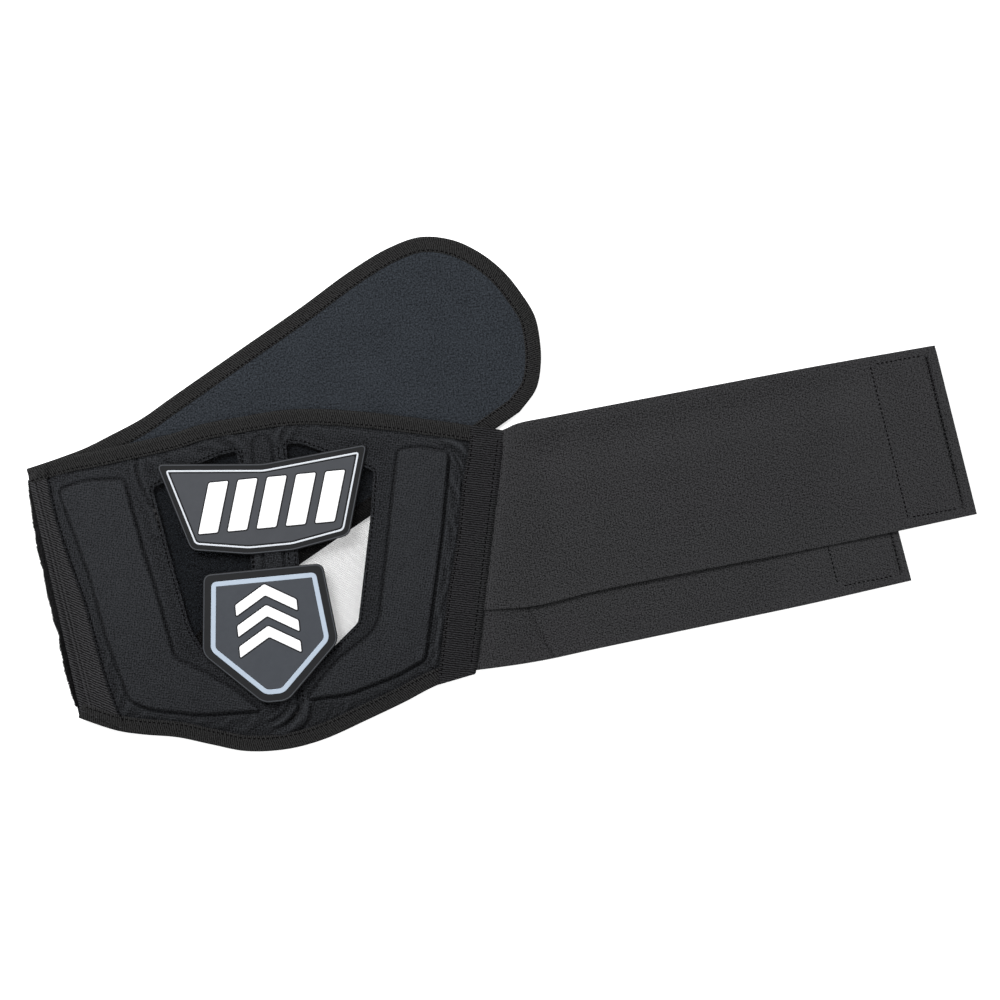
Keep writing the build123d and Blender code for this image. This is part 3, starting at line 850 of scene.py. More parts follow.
def pile_height(points):
    return flap_under(points) + 0.12 * (1 + ripple(points, 3.0, 21)) + 0.1 * (1 + ripple(points, 1.7, 22))


flap_loop = soften(make_object(
    "flap_loop_face",
    *cloth_region(flap_region, [], GRID, level(FLAP_CORE_BOTTOM), pile_height),
    PILE, "flap", "loop_cloth", ["flap_loop_face"]))

flap_core_region = even(grown(flap_outline, -1.2), COARSE, closed=True)
flap_foam = soften(make_object(
    "flap_foam",
    *cloth_region(flap_core_region, [], COARSE, lambda p: flap_surface(p) - CLOTH - 0.05,
                  level(FLAP_CORE_BOTTOM + 0.05)),
    FOAM, "flap", "foam", ["flap_foam"]))

BINDING_STATIONS = np.array([BINDING, BINDING - 0.15, BINDING - 0.7, 9.0, 7.2, 5.4, 3.8, 2.4, 1.3, 0.5])
BINDING_RISE = np.array([0.05, 0.34, 0.42, 0.5, 0.55, 0.55, 0.5, 0.45, 0.38, 0.2])


def edge_binding(line, over, under, seam=None):
    """Folded tape round an edge of the layers between two heights."""
    inward = normals_of(line)
    columns, widths = [], []

    def add(reach, height, width):
        columns.append(np.column_stack([line + inward * reach, height]))
        widths.append(width)

    rim_over, rim_under = over(line + inward * 0.5), under(line + inward * 0.5)
    for reach, rise in zip(BINDING_STATIONS, BINDING_RISE):
        add(reach, over(line + inward * reach) + rise, BINDING - reach)
    for share, reach in ((0.15, -0.1), (0.35, -0.4), (0.65, -0.4), (0.85, -0.1)):
        add(reach, rim_over + (rim_under - rim_over) * share, BINDING + 2 * share)
    for reach, rise in zip(BINDING_STATIONS[::-1], BINDING_RISE[::-1]):
        add(reach, under(line + inward * reach) - 0.6 * rise, BINDING + 2 + reach)
    for reach in (BINDING - 0.2, 5.0, 0.9):
        add(reach, under(line + inward * reach) - 0.02, BINDING + 2 + reach)
    for reach in (0.9, 5.0, BINDING - 0.2):
        add(reach, over(line + inward * reach) + 0.02, BINDING - reach)
    size, count = len(columns), len(line)
    points = np.stack(columns, axis=1).reshape(-1, 3)
    uv = np.column_stack([np.repeat(run_of(line), size), np.tile(widths, count)])
    if seam:
        short = np.maximum(0.15 - past_seam(points[:, :2], seam), 0)
        points[:, :2] += np.outer(short, seam_side(seam))
    faces = [(i * size + j, i * size + (j + 1) % size, (i + 1) * size + (j + 1) % size, (i + 1) * size + j)
             for i in range(count - 1) for j in range(size)]
    for ring, way in ((0, 1), (count - 1, -1)):
        order = [ring * size + j for j in range(size)][::way]
        half = size // 2
        faces += [(order[j], order[j + 1], order[size - 2 - j], order[size - 1 - j]) for j in range(half - 1)]
    return points, faces, uv


flap_binding = soften(make_object(
    "flap_binding",
    *edge_binding(even(flap_free_line, 1.6), flap_surface, level(0.42), FOLD_SEAM),
    BINDING_TAPE, "flap", "binding_tape", ["flap_binding"]), 60)


# ---------------------------------------------------------------- stitches
STITCH, STITCH_GAP, THREAD_WIDTH = 2.1, 1.2, 0.44


def stitch_row(line, height):
    """Row of stitches along a line: each a short rounded thread that dips into the cloth at its ends."""
    run = run_of(line)
    starts = np.arange(STITCH_GAP, run[-1] - STITCH, STITCH + STITCH_GAP)
    shares = np.array([0.0, 0.18, 0.5, 0.82, 1.0])
    thick = np.array([0.45, 0.9, 1.0, 0.9, 0.45]) * THREAD_WIDTH
    lifts = np.array([-0.28, 0.12, 0.2, 0.12, -0.28])
    places = (starts[:, None] + shares * STITCH).ravel()
    middle = at_runs(line, run, places)
    heights = height(middle).reshape(-1, 5)
    middle = middle.reshape(-1, 5, 2)
    angles = np.linspace(0, 2 * np.pi, 6, endpoint=False)
    parts_points, faces, uv = [], [], []
    for index in range(len(starts)):
        centre = middle[index]
        away = centre[-1] - centre[0]
        away = away / max(np.linalg.norm(away), 1e-9)
        side = np.array([-away[1], away[0]])
        for k in range(5):
            z = heights[index, k] + lifts[k]
            ring = centre[k] + np.outer(np.cos(angles) * thick[k], side)
            parts_points.append(np.column_stack([ring, z + np.sin(angles) * thick[k] * 0.7]))
            uv.append(np.column_stack([np.full(6, places[index * 5 + k]), angles]))
        faces += tube_faces(index * 30, 6, 5)
    return np.vstack(parts_points), faces, np.vstack(uv)


def stitches(name, rows, body):
    """One piece that holds several rows of stitches: (line, height function) each."""
    make_object(name, *join_parts([stitch_row(line, height) for line, height in rows]), THREAD, body)


def binding_top(over):
    return lambda points: over(points) + 0.45


flap_stitch_line = moved(even(flap_free_line, 2), BINDING - 1.4)
stitches("flap_stitches", [
    (flap_stitch_line, binding_top(flap_surface)),
    (flap_stitch_line, level(0.15))], "flap")


# ---------------------------------------------------------------- back panel
def tape_side(points):
    """Where the left tape (1) lies on the panel."""
    return signed(points, LEFT_TAPE_REGION, limit=6) < 0


def seam_points(seam, sideways, step):
    """Straight line beside a seam, from its upper to its lower end."""
    return even(seam, step) + seam_side(seam) * sideways


LEFT_TAPE_OUTER = ((-168.4, 92), (-147.2, -80))
LEFT_TAPE_RIDGES = ((-164.2, 92), (-138.5, -80))
LEFT_TAPE_REGION = even(np.vstack([along(LEFT_TAPE, 3), even(LEFT_TAPE_OUTER, 3)[::-1]]), 2, closed=True)
RIGHT_TAPE_REGION = even(
    np.vstack([along(RIGHT_TAPE, 3), seam_points(STRAP_SEAM, 0.6, 3)[::-1]]), 2, closed=True)


def left_tape_height(points):
    """Left tape: a flat band over the edge of the rolled loop cloth, with two ridges near it."""
    inward = past_seam(points, LEFT_TAPE_OUTER)
    height = panel_surface(points, relief=False) + 0.55 + 0.75 * smooth(3.4, 1.8, inward)
    beside = past_seam(points, LEFT_TAPE_RIDGES)
    height += 0.6 * bell(beside + 1.3, 0.6) + 0.7 * bell(beside - 1.3, 0.6) - 0.5 * bell(beside, 0.6)
    height -= 0.4 * bell(beside + 2.7, 0.7) + 0.3 * bell(beside - 2.7, 0.7)
    height -= 0.45 * bell(distance(points, along(LEFT_TAPE, 3), limit=8), 0.8)
    return height + 0.12 * ripple(points, 9, 31)


def left_tape_shade_and_highlight(points):
    # Painted shade in the groove between the tape's two ridges, and painted highlight on the ridges
    beside = past_seam(points, LEFT_TAPE_RIDGES)
    return 0.6 * bell(beside, 0.5) - 1.3 * bell(beside + 1.3, 0.6) - 1.0 * bell(beside - 1.3, 0.6)


def right_tape_height(points):
    """Right tape: grosgrain that rolls down over the strap seam."""
    past = past_seam(points, STRAP_SEAM)
    height = panel_surface(points, relief=False) + 0.9 + 0.25 * edge_pinch(points)
    height -= 1.0 * smooth(-2.2, 0.8, past)
    height -= 0.5 * bell(distance(points, along(RIGHT_TAPE, 3), limit=8), 0.9)
    height += 0.3 * folds_at(points, (((150, 80), (168, 84), 3, 0.8), ((128, -60), (140, -66), 3, 0.8)))
    return height + 0.12 * ripple(points, 9, 33)


def face_height(points):
    """Panel face, kept below the tapes and the rolled loop cloth that cover it."""
    height = panel_surface(points) - 0.9 * smooth(2.0, 1.0, past_seam(points, LEFT_TAPE_OUTER))
    for region, tape in ((LEFT_TAPE_REGION, left_tape_height), (RIGHT_TAPE_REGION, right_tape_height)):
        away = signed(points, region, limit=6)
        covered = away < 0.5
        height = np.where(covered, np.minimum(height, tape(points) - 0.45), height)
    plain = panel_surface(points, relief=False)
    return np.where(from_edge(points, 20) < BINDING - 0.6, np.minimum(height, plain + 0.05), height)


def window_pinch(points):
    """1 at a window's rim, where the layers are sewn down to the mesh, to 0 away from it."""
    away = np.minimum(signed(points, window_left, limit=20), signed(points, window_right, limit=20))
    return smooth(7.0, 0.5, away)


def lining_height(points):
    """Outer side of the panel's lining, drawn up to the mesh round the windows."""
    rim = MESH_HEIGHT - 0.55 - sag(points)
    height = panel_underside(points)
    return height + (rim - height) * window_pinch(points) * 0.85


def mesh_height(points):
    return MESH_HEIGHT - 0.35 - sag(points) - 1.5 * edge_pinch(points) + 0.12 * ripple(points, 22, 41)


windows = [even(window_left, GRID, closed=True), even(window_right, GRID, closed=True)]
panel_region = even(grown(panel_outline, -EDGE_GAP), GRID, closed=True)
PAD_RINGS = (-2.6, -1.4, -0.5, 0.1, 0.8, 1.7)
WINDOW_RINGS = (0.9, 1.7, 2.5, 3.4)
SEAM_ROWS = (-0.4, 0.5, 1.4)
face_guides = [(even(grown(pad, ring), GRID, closed=True), True)
               for pad in (left_pad, right_pad) for ring in PAD_RINGS]
face_guides += [(even(grown(window, ring), GRID, closed=True), True)
                for window in (window_left, window_right) for ring in WINDOW_RINGS]
for line, inward in ((moved(panel_top_line, BINDING), 1), (moved(panel_bottom_line, BINDING), 1),
                     (along(LEFT_TAPE, 1.5), -1), (along(RIGHT_TAPE, 1.5), 1)):
    rows = [even(moved(line, row * inward), GRID) for row in SEAM_ROWS]
    face_guides += [(row[inside(row, grown(panel_outline, -5))], False) for row in rows]
panel_face = soften(make_object(
    "panel_face",
    *cloth_region(panel_region, windows, GRID, face_height, lambda p: face_height(p) - CLOTH, face_guides),
    FACE, "back_panel", "face_cloth", ["panel_face"], dark=face_painted_shade), 70)

panel_lining = soften(make_object(
    "panel_lining",
    *cloth_region(panel_region, windows, COARSE, lambda p: lining_height(p) + CLOTH, lining_height),
    LINING, "back_panel", "lining_cloth", ["panel_lining"]))

foam_region = even(grown(panel_outline, -1.4), COARSE, closed=True)
foam_windows = [even(grown(window, 1.2), COARSE, closed=True) for window in (window_left, window_right)]


def foam_top(points):
    return np.maximum(np.minimum(face_height(points) - CLOTH - 0.05, FACE_TOP - CLOTH - sag(points)),
                      lining_height(points) + CLOTH + 0.1)


panel_foam = soften(make_object(
    "panel_foam",
    *cloth_region(foam_region, foam_windows, COARSE, foam_top, lambda p: lining_height(p) + CLOTH + 0.03),
    FOAM, "back_panel", "foam", ["panel_foam"]))

for name, outline in (("pad_insert_left", left_pad), ("pad_insert_right", right_pad),
                      ("spine_pad_insert", spine_pad)):
    region = even(grown(outline, -0.9), COARSE, closed=True)
    insert = soften(make_object(
        name, *cloth_region(region, [], COARSE, lambda p: face_height(p) - CLOTH - 0.05,
                            lambda p: np.minimum(face_height(p) - CLOTH - 0.3,
                                                 FACE_TOP - CLOTH + 0.05 - sag(p))),
        FOAM, "back_panel", "foam", [name]))

for name, window in (("window_mesh_left", window_left), ("window_mesh_right", window_right)):
    region = even(grown(window, 4.0), COARSE, closed=True)
    mesh_piece = make_object(
        name, *cloth_region(region, [], COARSE, mesh_height, lambda p: mesh_height(p) - 0.15),
        MESH, "back_panel", "mesh_cloth", [name])


def panel_edge_top(points):
    """What the panel's bindings lie on: the face, and the left tape where it is."""
    height = panel_surface(points, relief=False)
    return np.where(tape_side(points), np.maximum(height, left_tape_height(points)), height)


top_binding_line = even(panel_top_line, 1.6)
bottom_binding_line = even(panel_bottom_line, 1.6)
for name, line in (("top_binding", top_binding_line), ("bottom_binding", bottom_binding_line)):
    binding = soften(make_object(
        name, *edge_binding(line, panel_edge_top, panel_underside, FOLD_SEAM),
        BINDING_TAPE, "back_panel", "binding_tape", [name]), 60)


def tape_piece(region, height, seam):
    """Closed tape over a region, with its cloth directions along and across a seam."""
    flat, triangles = triangulate(region, [], TAPE_GRID)
    over = height(flat)
    points, faces, uv = closed_sheet(flat, triangles, over, over - TAPE_CLOTH)
    return points, faces, np.column_stack([(uv - np.array(seam[0])) @ seam_run(seam), past_seam(uv, seam)])


def clipped(region, clip):
    """Outline whose points outside another outline are moved to the nearest place on it."""
    made = []
    for point in region:
        if not inside(point[None], clip)[0]:
            ends = np.roll(clip, -1, 0)
            run = ends - clip
            t = np.sum((point - clip) * run, axis=1) / np.maximum(np.sum(run * run, axis=1), 1e-9)
            near = clip + run * np.clip(t, 0, 1)[:, None]
            point = near[np.argmin(np.linalg.norm(near - point, axis=1))]
        made.append(point)
    return np.array(made)


LEFT_TAPE_DRAWN = even(clipped(LEFT_TAPE_REGION, grown(panel_outline, -0.5) * [1, 0.985]), GRID, closed=True)
left_tape = soften(make_object(
    "left_side_tape", *tape_piece(LEFT_TAPE_DRAWN, left_tape_height, FOLD_SEAM),
    LEFT_TAPE_CLOTH, "back_panel", "side_tape", ["left_side_tape"], dark=left_tape_shade_and_highlight))

RIGHT_TAPE_DRAWN = even(clipped(RIGHT_TAPE_REGION, grown(panel_outline, 0.8)), GRID, closed=True)
right_tape = soften(make_object(
    "right_side_tape", *tape_piece(RIGHT_TAPE_DRAWN, right_tape_height, STRAP_SEAM),
    SIDE_TAPE, "back_panel", "side_tape", ["right_side_tape"]))

# ---------------------------------------------------------------- straps
ROOT_REACH = 21.0
STRAP_BEND = 42.0
OVERLAP = 7.0


def strap_points(edges, start_shift, length_step, width_step):
    """Grid over a strap between its two long edges, from start_shift past the seam to its end."""
    upper, lower = (np.array(edge, float) for edge in edges)
    sides = []
    for line in (upper, lower):
        first = line[1] - line[0]
        first = first / np.linalg.norm(first)
        sides.append(np.vstack([line[0] + first * start_shift, line[1:]]))
    top, bottom = along(sides[0], 4), along(sides[1], 4)
    length = np.linalg.norm(bottom[-1] - bottom[0])
    count = int(length / length_step)
    top, bottom = [resampled(line, count) for line in (top, bottom)]
    width = np.linalg.norm(top[0] - bottom[0])
    inner = np.linspace(1.6, width - 1.6, int(width / width_step))
    across = np.concatenate([[0, 0.12, 0.45, 0.9], inner, width - np.array([0.9, 0.45, 0.12, 0])]) / width
    grid = bottom[:, None] + (top - bottom)[:, None] * across[None, :, None]
    return grid, across * width, width


def resampled(line, count):
    """Line again with count even points, and one more close to each end."""
    run = run_of(line)
    at = np.linspace(0, run[-1], count)
    at = np.insert(at, [1, len(at) - 1], [0.5, at[-1] - 0.5])
    return at_runs(line, run, at)


def slab(grid, across, width, bottom, thickness):
    """Closed webbing over a grid, with rounded edges and ends."""
    rows, columns = grid.shape[:2]
    flat = grid.reshape(-1, 2)
    low = bottom(flat).reshape(rows, columns)
    from_edge = np.minimum(across, width - across)
    half = thickness / 2 * np.sqrt(np.clip(1 - (1 - np.clip(from_edge / 0.9, 0, 1)) ** 2, 0.04, 1))
    half = np.tile(half, (rows, 1))
    half[0] *= 0.5
    half[-1] *= 0.5
    middle = low + thickness / 2
    over, under = (middle + half).ravel(), (middle - half).ravel()
    points = np.vstack([np.column_stack([flat, over]), np.column_stack([flat, under])])
    run = np.linalg.norm(grid - grid[:1], axis=2)
    uv = np.column_stack([run.ravel(), np.tile(across, rows)])
    return points, shell_faces(rows, columns), np.vstack([uv, uv])


def patch_lift(points, patch):
    """1 over a hook patch to 0 well away from it."""
    return smooth(60, 6, signed(points, patch, limit=62))


UPPER_PATCH = rounded(((440.6, 113.8), (481.4, 117.3), (498.1, 3.5), (457.1, -0.6)), 2)
LOWER_PATCH = rounded(((384, 69), (431.5, 73.5), (449.5, -40), (402.9, -45)), 2)
lower_strap_outline = even(LOWER_EDGES[0] + LOWER_EDGES[1][::-1], 4, closed=True)


def lower_strap_height(points):
    """Under side of the lower strap: level at the seam, then down in an S onto the table."""
    past = past_seam(points, STRAP_SEAM)
    flat = LOWER_FLAT - 0.9 * (1 - patch_lift(points, LOWER_PATCH)) + 0.06 * (1 + ripple(points, 40, 51))
    away = past_seam(points, LOWER_CREASE)
    flat += (0.3 * bell(away - 1.6, 1.6) - 0.35 * bell(away, 0.8)) * smooth(4, 20, past)
    return LOWER_ROOT + (flat - LOWER_ROOT) * smooth(1, STRAP_BEND, past)


def upper_strap_height(points):
    """Under side of the upper strap, which lies on the lower one and sags past its edge."""
    past = past_seam(points, STRAP_SEAM)
    beyond = signed(points, lower_strap_outline, limit=40)
    flat = UPPER_FLAT - 0.9 * (1 - patch_lift(points, UPPER_PATCH)) - 1.5 * smooth(3, 38, beyond)
    flat += 0.07 * (1 + ripple(points, 46, 52))
    return UPPER_ROOT + (flat - UPPER_ROOT) * smooth(1, STRAP_BEND, past)


LOWER_CREASE = ((178, -34), (193, -70))
UPPER_END_SEAM = ((481.0, 116), (497.6, 5.5))
LOWER_END_SEAM = ((432, 72), (448.6, -38))


def end_dark(points, seam, patch):
    """Painted shade along the seam sewn across a strap near its end, and the cloth over its patch lighter."""
    return 1.3 * bell(distance(points, even(seam, 2), limit=8), 0.8) - 0.2 * patch_lift(points, patch)


def lower_strap_dark(points):
    # Painted shade in the lower strap's crease
    crease = bell(past_seam(points, LOWER_CREASE), 0.8) * smooth(4, 14, past_seam(points, STRAP_SEAM))
    return end_dark(points, LOWER_END_SEAM, LOWER_PATCH) + 0.9 * crease


def upper_strap_dark(points):
    return end_dark(points, UPPER_END_SEAM, UPPER_PATCH)


STRAP_STEP = 2.0
for name, edges, start, height, shade, bodies, blend_run in (
    ("lower_strap_elastic", LOWER_EDGES, -ROOT_REACH, lower_strap_height, lower_strap_dark,
     ("back_panel", "lower_strap"), (-1.0, OVERLAP)),
    ("upper_strap_elastic", UPPER_EDGES, 3.0, upper_strap_height, upper_strap_dark,
     ("lower_strap", "upper_strap"), (OVERLAP, 26.0)),
):
    grid, across, width = strap_points(edges, start, 0.6 * STRAP_STEP, 1.5 * STRAP_STEP)
    piece = soften(make_object(
        name, *slab(grid, across, width, height, ELASTIC), ELASTIC_CLOTH,
        slot="elastic_webbing", dark=shade), 60)
    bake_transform(piece)
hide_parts("lower_strap_elastic", "lower_strap_root")
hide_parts("upper_strap_elastic")

root_top, root_bottom = (np.array(edge[:2], float) for edge in UPPER_EDGES)
root_edges = []
for line in (root_top, root_bottom):
    direction = (line[1] - line[0]) / np.linalg.norm(line[1] - line[0])
    root_edges.append(((line[0] - direction * 0.4), (line[0] + direction * (OVERLAP + 1.0))))
grid, across, width = strap_points(root_edges, -ROOT_REACH, STRAP_STEP, STRAP_STEP)
upper_root = soften(make_object(
    "upper_strap_root",
    *slab(grid, across, width, lambda p: upper_strap_height(p) + 0.12, ELASTIC - 0.24), ELASTIC_CLOTH,
    slot="elastic_webbing", nodes=["upper_strap_root"]), 60)
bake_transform(upper_root)

HOOK_PITCH, HOOK_BASE = 2.6, 0.6


def hook_patch(name, outline, under, body):
    """Hook tape sewn under a strap: a thin base with rows of small hooks that point down."""
    flat, triangles = triangulate(even(outline, 3, closed=True), [], 4.0)
    top = under(flat) - 0.02
    parts = [closed_sheet(flat, triangles, top, top - HOOK_BASE)]
    low, high = outline.min(0), outline.max(0)
    x, y = np.meshgrid(np.arange(low[0], high[0], HOOK_PITCH), np.arange(low[1], high[1], HOOK_PITCH))
    x = x + (np.arange(len(x)) % 2)[:, None] * HOOK_PITCH / 2
    feet = np.column_stack([x.ravel(), y.ravel()])
    feet = feet[inside(feet, grown(outline, -2.0))]
    base = under(feet) - HOOK_BASE
    stem = np.array([(0.0, 0.0), (0.05, -0.2), (0.22, -0.42), (0.5, -0.5), (0.62, -0.36)])
    thick = np.array([0.2, 0.16, 0.14, 0.12, 0.07])
    corners = np.array([(1, 1), (-1, 1), (-1, -1), (1, -1)])
    points, faces = [], []
    for index, (foot, z) in enumerate(zip(feet, base)):
        for (reach, drop), size in zip(stem, thick):
            ring = foot + [reach, 0] + corners * size
            points.append(np.column_stack([ring, np.full(4, z + drop)]))
        faces += [face[::-1] for face in tube_faces(index * 20, 4, 5)]
    points = np.vstack(points)
    parts.append((points, faces, points[:, :2]))
    patch = make_object(name, *join_parts(parts), HOOKS, body, "hook_tape", [name])


hook_patch("lower_strap_hook_patch", LOWER_PATCH, lower_strap_height, "lower_strap")
hook_patch("upper_strap_hook_patch", UPPER_PATCH, upper_strap_height, "upper_strap")

# ---------------------------------------------------------------- stitches on the panel and straps
top_stitch = moved(top_binding_line, BINDING - 2.0)
bottom_stitch = moved(bottom_binding_line, BINDING - 2.0)
panel_top_of_binding = binding_top(panel_edge_top)
stitches("panel_binding_stitches", [
    (top_stitch, panel_top_of_binding), (bottom_stitch, panel_top_of_binding),
    (top_stitch, lambda p: panel_underside(p) - 0.3), (bottom_stitch, lambda p: panel_underside(p) - 0.3),
], "back_panel")
window_rows = [grown(window, WINDOW_STITCH) for window in (window_left, window_right)]
stitches("window_stitches", [
    (even(np.vstack([row, row[:1]]), 2), lambda p: face_height(p) + 0.3) for row in window_rows
], "back_panel")
left_inner = moved(along(LEFT_TAPE, 2), -1.6)[3:-3]
right_inner = moved(along(RIGHT_TAPE, 2), -1.8)[3:-3]
right_outer = seam_points(STRAP_SEAM, -3.6, 2)[3:-3]
stitches("tape_stitches", [
    (left_inner, lambda p: left_tape_height(p) - 0.05), (right_inner, lambda p: right_tape_height(p) - 0.05),
    (right_outer, lambda p: right_tape_height(p) - 0.05)], "back_panel")
spine_rows = [even([(-14.2, 96), (-13.8, -92)], 2), even([(12.0, 96), (12.4, -92)], 2)]
stitches("spine_stitches", [(row, lambda p: face_height(p) + 0.15) for row in spine_rows], "back_panel")


def patch_rows(lines):
    return [even(line, 2) for line in lines]


upper_rows = patch_rows((((440.6, 112.5), (457.1, 0.8)), UPPER_END_SEAM, ((444, 113.2), (480, 116.2)),
                         ((459.5, 1.2), (495.5, 4.4))))
stitches("upper_patch_stitches", [
    (row, lambda p: upper_strap_height(p) + ELASTIC) for row in upper_rows], "upper_strap")
lower_rows = patch_rows((((385, 67), (403, -43)), LOWER_END_SEAM, ((406, -43.3), (445, -39.4))))
stitches("lower_patch_stitches", [
    (row, lambda p: lower_strap_height(p) + ELASTIC) for row in lower_rows], "lower_strap")

# ---------------------------------------------------------------- fold roll
ROLL_STEPS = 26
ROLL_WALL = 0.9
ROLL_GIRTH = 16
HAIRS = 4200
ROLL_RUN = (0, 10, 30, 55, 68, 73, 80, 96, 112, 122, 130, 140, 155, 172, 182)
ROLL_REACH = (0.4, 1.0, 3.0, 4.3, 4.4, 3.0, 4.2, 3.9, 3.4, 1.7, 2.9, 3.0, 2.6, 0.5, 0.1)
LIP_REACH = (0.0, 1.2, 1.7, 1.7, 1.7, 1.7, 1.7, 1.8, 2.2, 3.0, 3.8, 4.6, 5.2, 2.4, 0.0)
LIP = 0.8


def roll_reach(run):
    """How far the rolled loop cloth stands out past the fold seam, along it."""
    return np.interp(run, ROLL_RUN, ROLL_REACH) + 0.2 * np.sin(run / 2.9 + 1.3)


def roll_point(run, share, swell=0.0):
    """Point of the roll: run is down the seam, share from under the flap (0) to the panel's face (1)."""
    down, outward = seam_run(FOLD_SEAM), -seam_side(FOLD_SEAM)
    top = FACE_TOP - 0.4
    turn = np.pi * np.clip(share / LIP, 0, 1)
    lip = np.clip((share - LIP) / (1 - LIP), 0, 1)
    x = (roll_reach(run) + swell) * np.sin(turn) - np.interp(run, ROLL_RUN, LIP_REACH) * lip
    z = np.maximum(top / 2 - (top / 2 + swell * 0.6) * np.cos(turn) + 0.25 * lip, 0.08)
    place = np.array(FOLD_SEAM[0]) + down * run[..., None] + outward * x[..., None]
    return np.concatenate([place, z[..., None]], axis=-1)


seam_length = math.dist(*FOLD_SEAM)
run_places = np.arange(8.0, seam_length - 7.0, 1.3)
turns = np.linspace(0.0, 1.0, ROLL_STEPS)
run_grid, turn_grid = np.meshgrid(run_places, turns, indexing="ij")
rough = ripple(np.column_stack([run_grid.ravel(), turn_grid.ravel() * ROLL_GIRTH]), 1.6, 61)
rough = 0.32 * rough.reshape(run_grid.shape)
shell_out = roll_point(run_grid, turn_grid, rough)
shell_in = roll_point(run_grid, turn_grid, np.full_like(rough, -ROLL_WALL))
roll_faces = [face[:1] + face[:0:-1] for face in shell_faces(*run_grid.shape)]
roll_uv = np.column_stack([run_grid.ravel(), turn_grid.ravel() * ROLL_GIRTH])
roll_points = np.vstack([shell_out.reshape(-1, 3), shell_in.reshape(-1, 3)])
roll_mesh = (roll_points, roll_faces, np.vstack([roll_uv, roll_uv]))


def hair_part(count):
    """Short loops of pile that stand out of the roll."""
    runs = random_draws.uniform(run_places[0] + 0.5, run_places[-1] - 0.5, count)
    at = random_draws.uniform(0.12, 0.97, count)
    reach = random_draws.uniform(0.5, 1.25, count)
    lean = random_draws.uniform(-0.7, 0.7, (count, 2))
    points, faces = [], []
    for share, size in ((-0.3, 0.13), (0.5, 0.11), (1.0, 0.05)):
        centre = roll_point(runs + lean[:, 0] * share, at + lean[:, 1] * share * 0.05, reach * share)
        for corner in range(3):
            angle = 2 * np.pi * corner / 3
            offset = np.array([0, np.cos(angle), np.sin(angle)]) * size
            points.append(centre + offset)
    stack = np.stack(points, axis=1)
    for hair in range(count):
        faces += tube_faces(hair * 9, 3, 3)
    uv = np.repeat(np.column_stack([runs, at * ROLL_GIRTH]), 9, axis=0)
    return stack.reshape(-1, 3), faces, uv


def roll_dark(points):
    """The roll is darker towards its lower end."""
    return 1.5 * smooth(-12, -32, points[:, 1])


roll = make_object("flap_fold", *join_parts([roll_mesh, hair_part(HAIRS)]), PILE, slot="loop_cloth",
                   nodes=["flap_fold"], dark=roll_dark)
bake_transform(roll)


# ---------------------------------------------------------------- rubber badges
def plate(outline, bottom, top, bevel, hollow=0.0):
    """Moulded plate with a rounded upper edge or, with hollow, a raised line that wide."""
    angles = np.linspace(0, np.pi / 2, 5)
    profile = [(0.0, bottom)] + [(bevel * (1 - math.cos(t)), top - bevel * (1 - math.sin(t))) for t in angles]
    rings = [np.column_stack([grown(outline, -inset) if inset else outline, np.full(len(outline), z)])
             for inset, z in profile]
    if hollow:
        rings += [np.column_stack([grown(outline, inset - hollow), np.full(len(outline), z)])
                  for inset, z in profile[::-1]]
    size, count = len(outline), len(rings)
    last = count if hollow else count - 1
    faces = [((k * size + j), (k * size + (j + 1) % size), ((k + 1) % count * size + (j + 1) % size),
              ((k + 1) % count * size + j)) for k in range(last) for j in range(size)]
    points = np.vstack(rings)
    if not hollow:
        cap = [(a, b, c) for a, b, c in tessellate_polygon([[Vector(p) for p in rings[-1]]])]
        way = 1 if (enclosed(rings[-1][list(cap[0])]) > 0) == (enclosed(outline) > 0) else -1
        faces += [tuple((count - 1) * size + j for j in triangle)[::way] for triangle in cap]
        faces += [triangle[::-way] for triangle in cap]
    if enclosed(outline) < 0:
        faces = [face[::-1] for face in faces]
    return points, faces, points[:, :2]


def rubber(parts, name, material, slot, nodes):
    """Rubber piece on the panel, smooth round its corners and crisp along its edges."""
    soften(make_object(name, *parts, material, "back_panel", slot, nodes), RUBBER_ANGLE)


LINE_TOP = frame_height("badge_outline", 1)
FIELD_TOP = frame_height("badge_field", 1)
MOTIF_TOP = frame_height("badge_bars", 1)
BADGE_BOTTOM = FACE_TOP - 0.6
SEAT = BADGE_BASE_TOP - 0.3             # the upper plates sit a little way into the base
RUBBER_ANGLE = 10.5
for name, corners, inset, radius, bottom, top, bevel, hollow, material, slot in (
    ("badge_base", BADGE, 0, 5, BADGE_BOTTOM, BADGE_BASE_TOP, 0.7, 0.0, BLACK_RUBBER, "black_rubber"),
    ("badge_outline", BADGE, 4.5, 3, SEAT, LINE_TOP, 0.3, 1.3, PALE_RUBBER, "pale_rubber"),
    ("badge_field", BADGE, 6.8, 2, SEAT, FIELD_TOP, 0.3, 0.0, GREY_RUBBER, "grey_rubber"),
    ("emblem_base", EMBLEM, 0, 6, BADGE_BOTTOM, BADGE_BASE_TOP, 0.7, 0.0, DARK_RUBBER, "dark_rubber"),
    ("emblem_ring", EMBLEM, 6, 4, SEAT, LINE_TOP, 0.3, 3.5, RING_RUBBER, "blue_grey_rubber"),
    ("emblem_field", EMBLEM, 9.5, 1.5, SEAT, FIELD_TOP, 0.3, 0.0, SLATE_RUBBER, "slate_rubber"),
):
    outline = corner_path(inset_corners(corners, inset), radius)
    rubber(plate(outline, bottom, top, bevel, hollow), name, material, slot, [name])

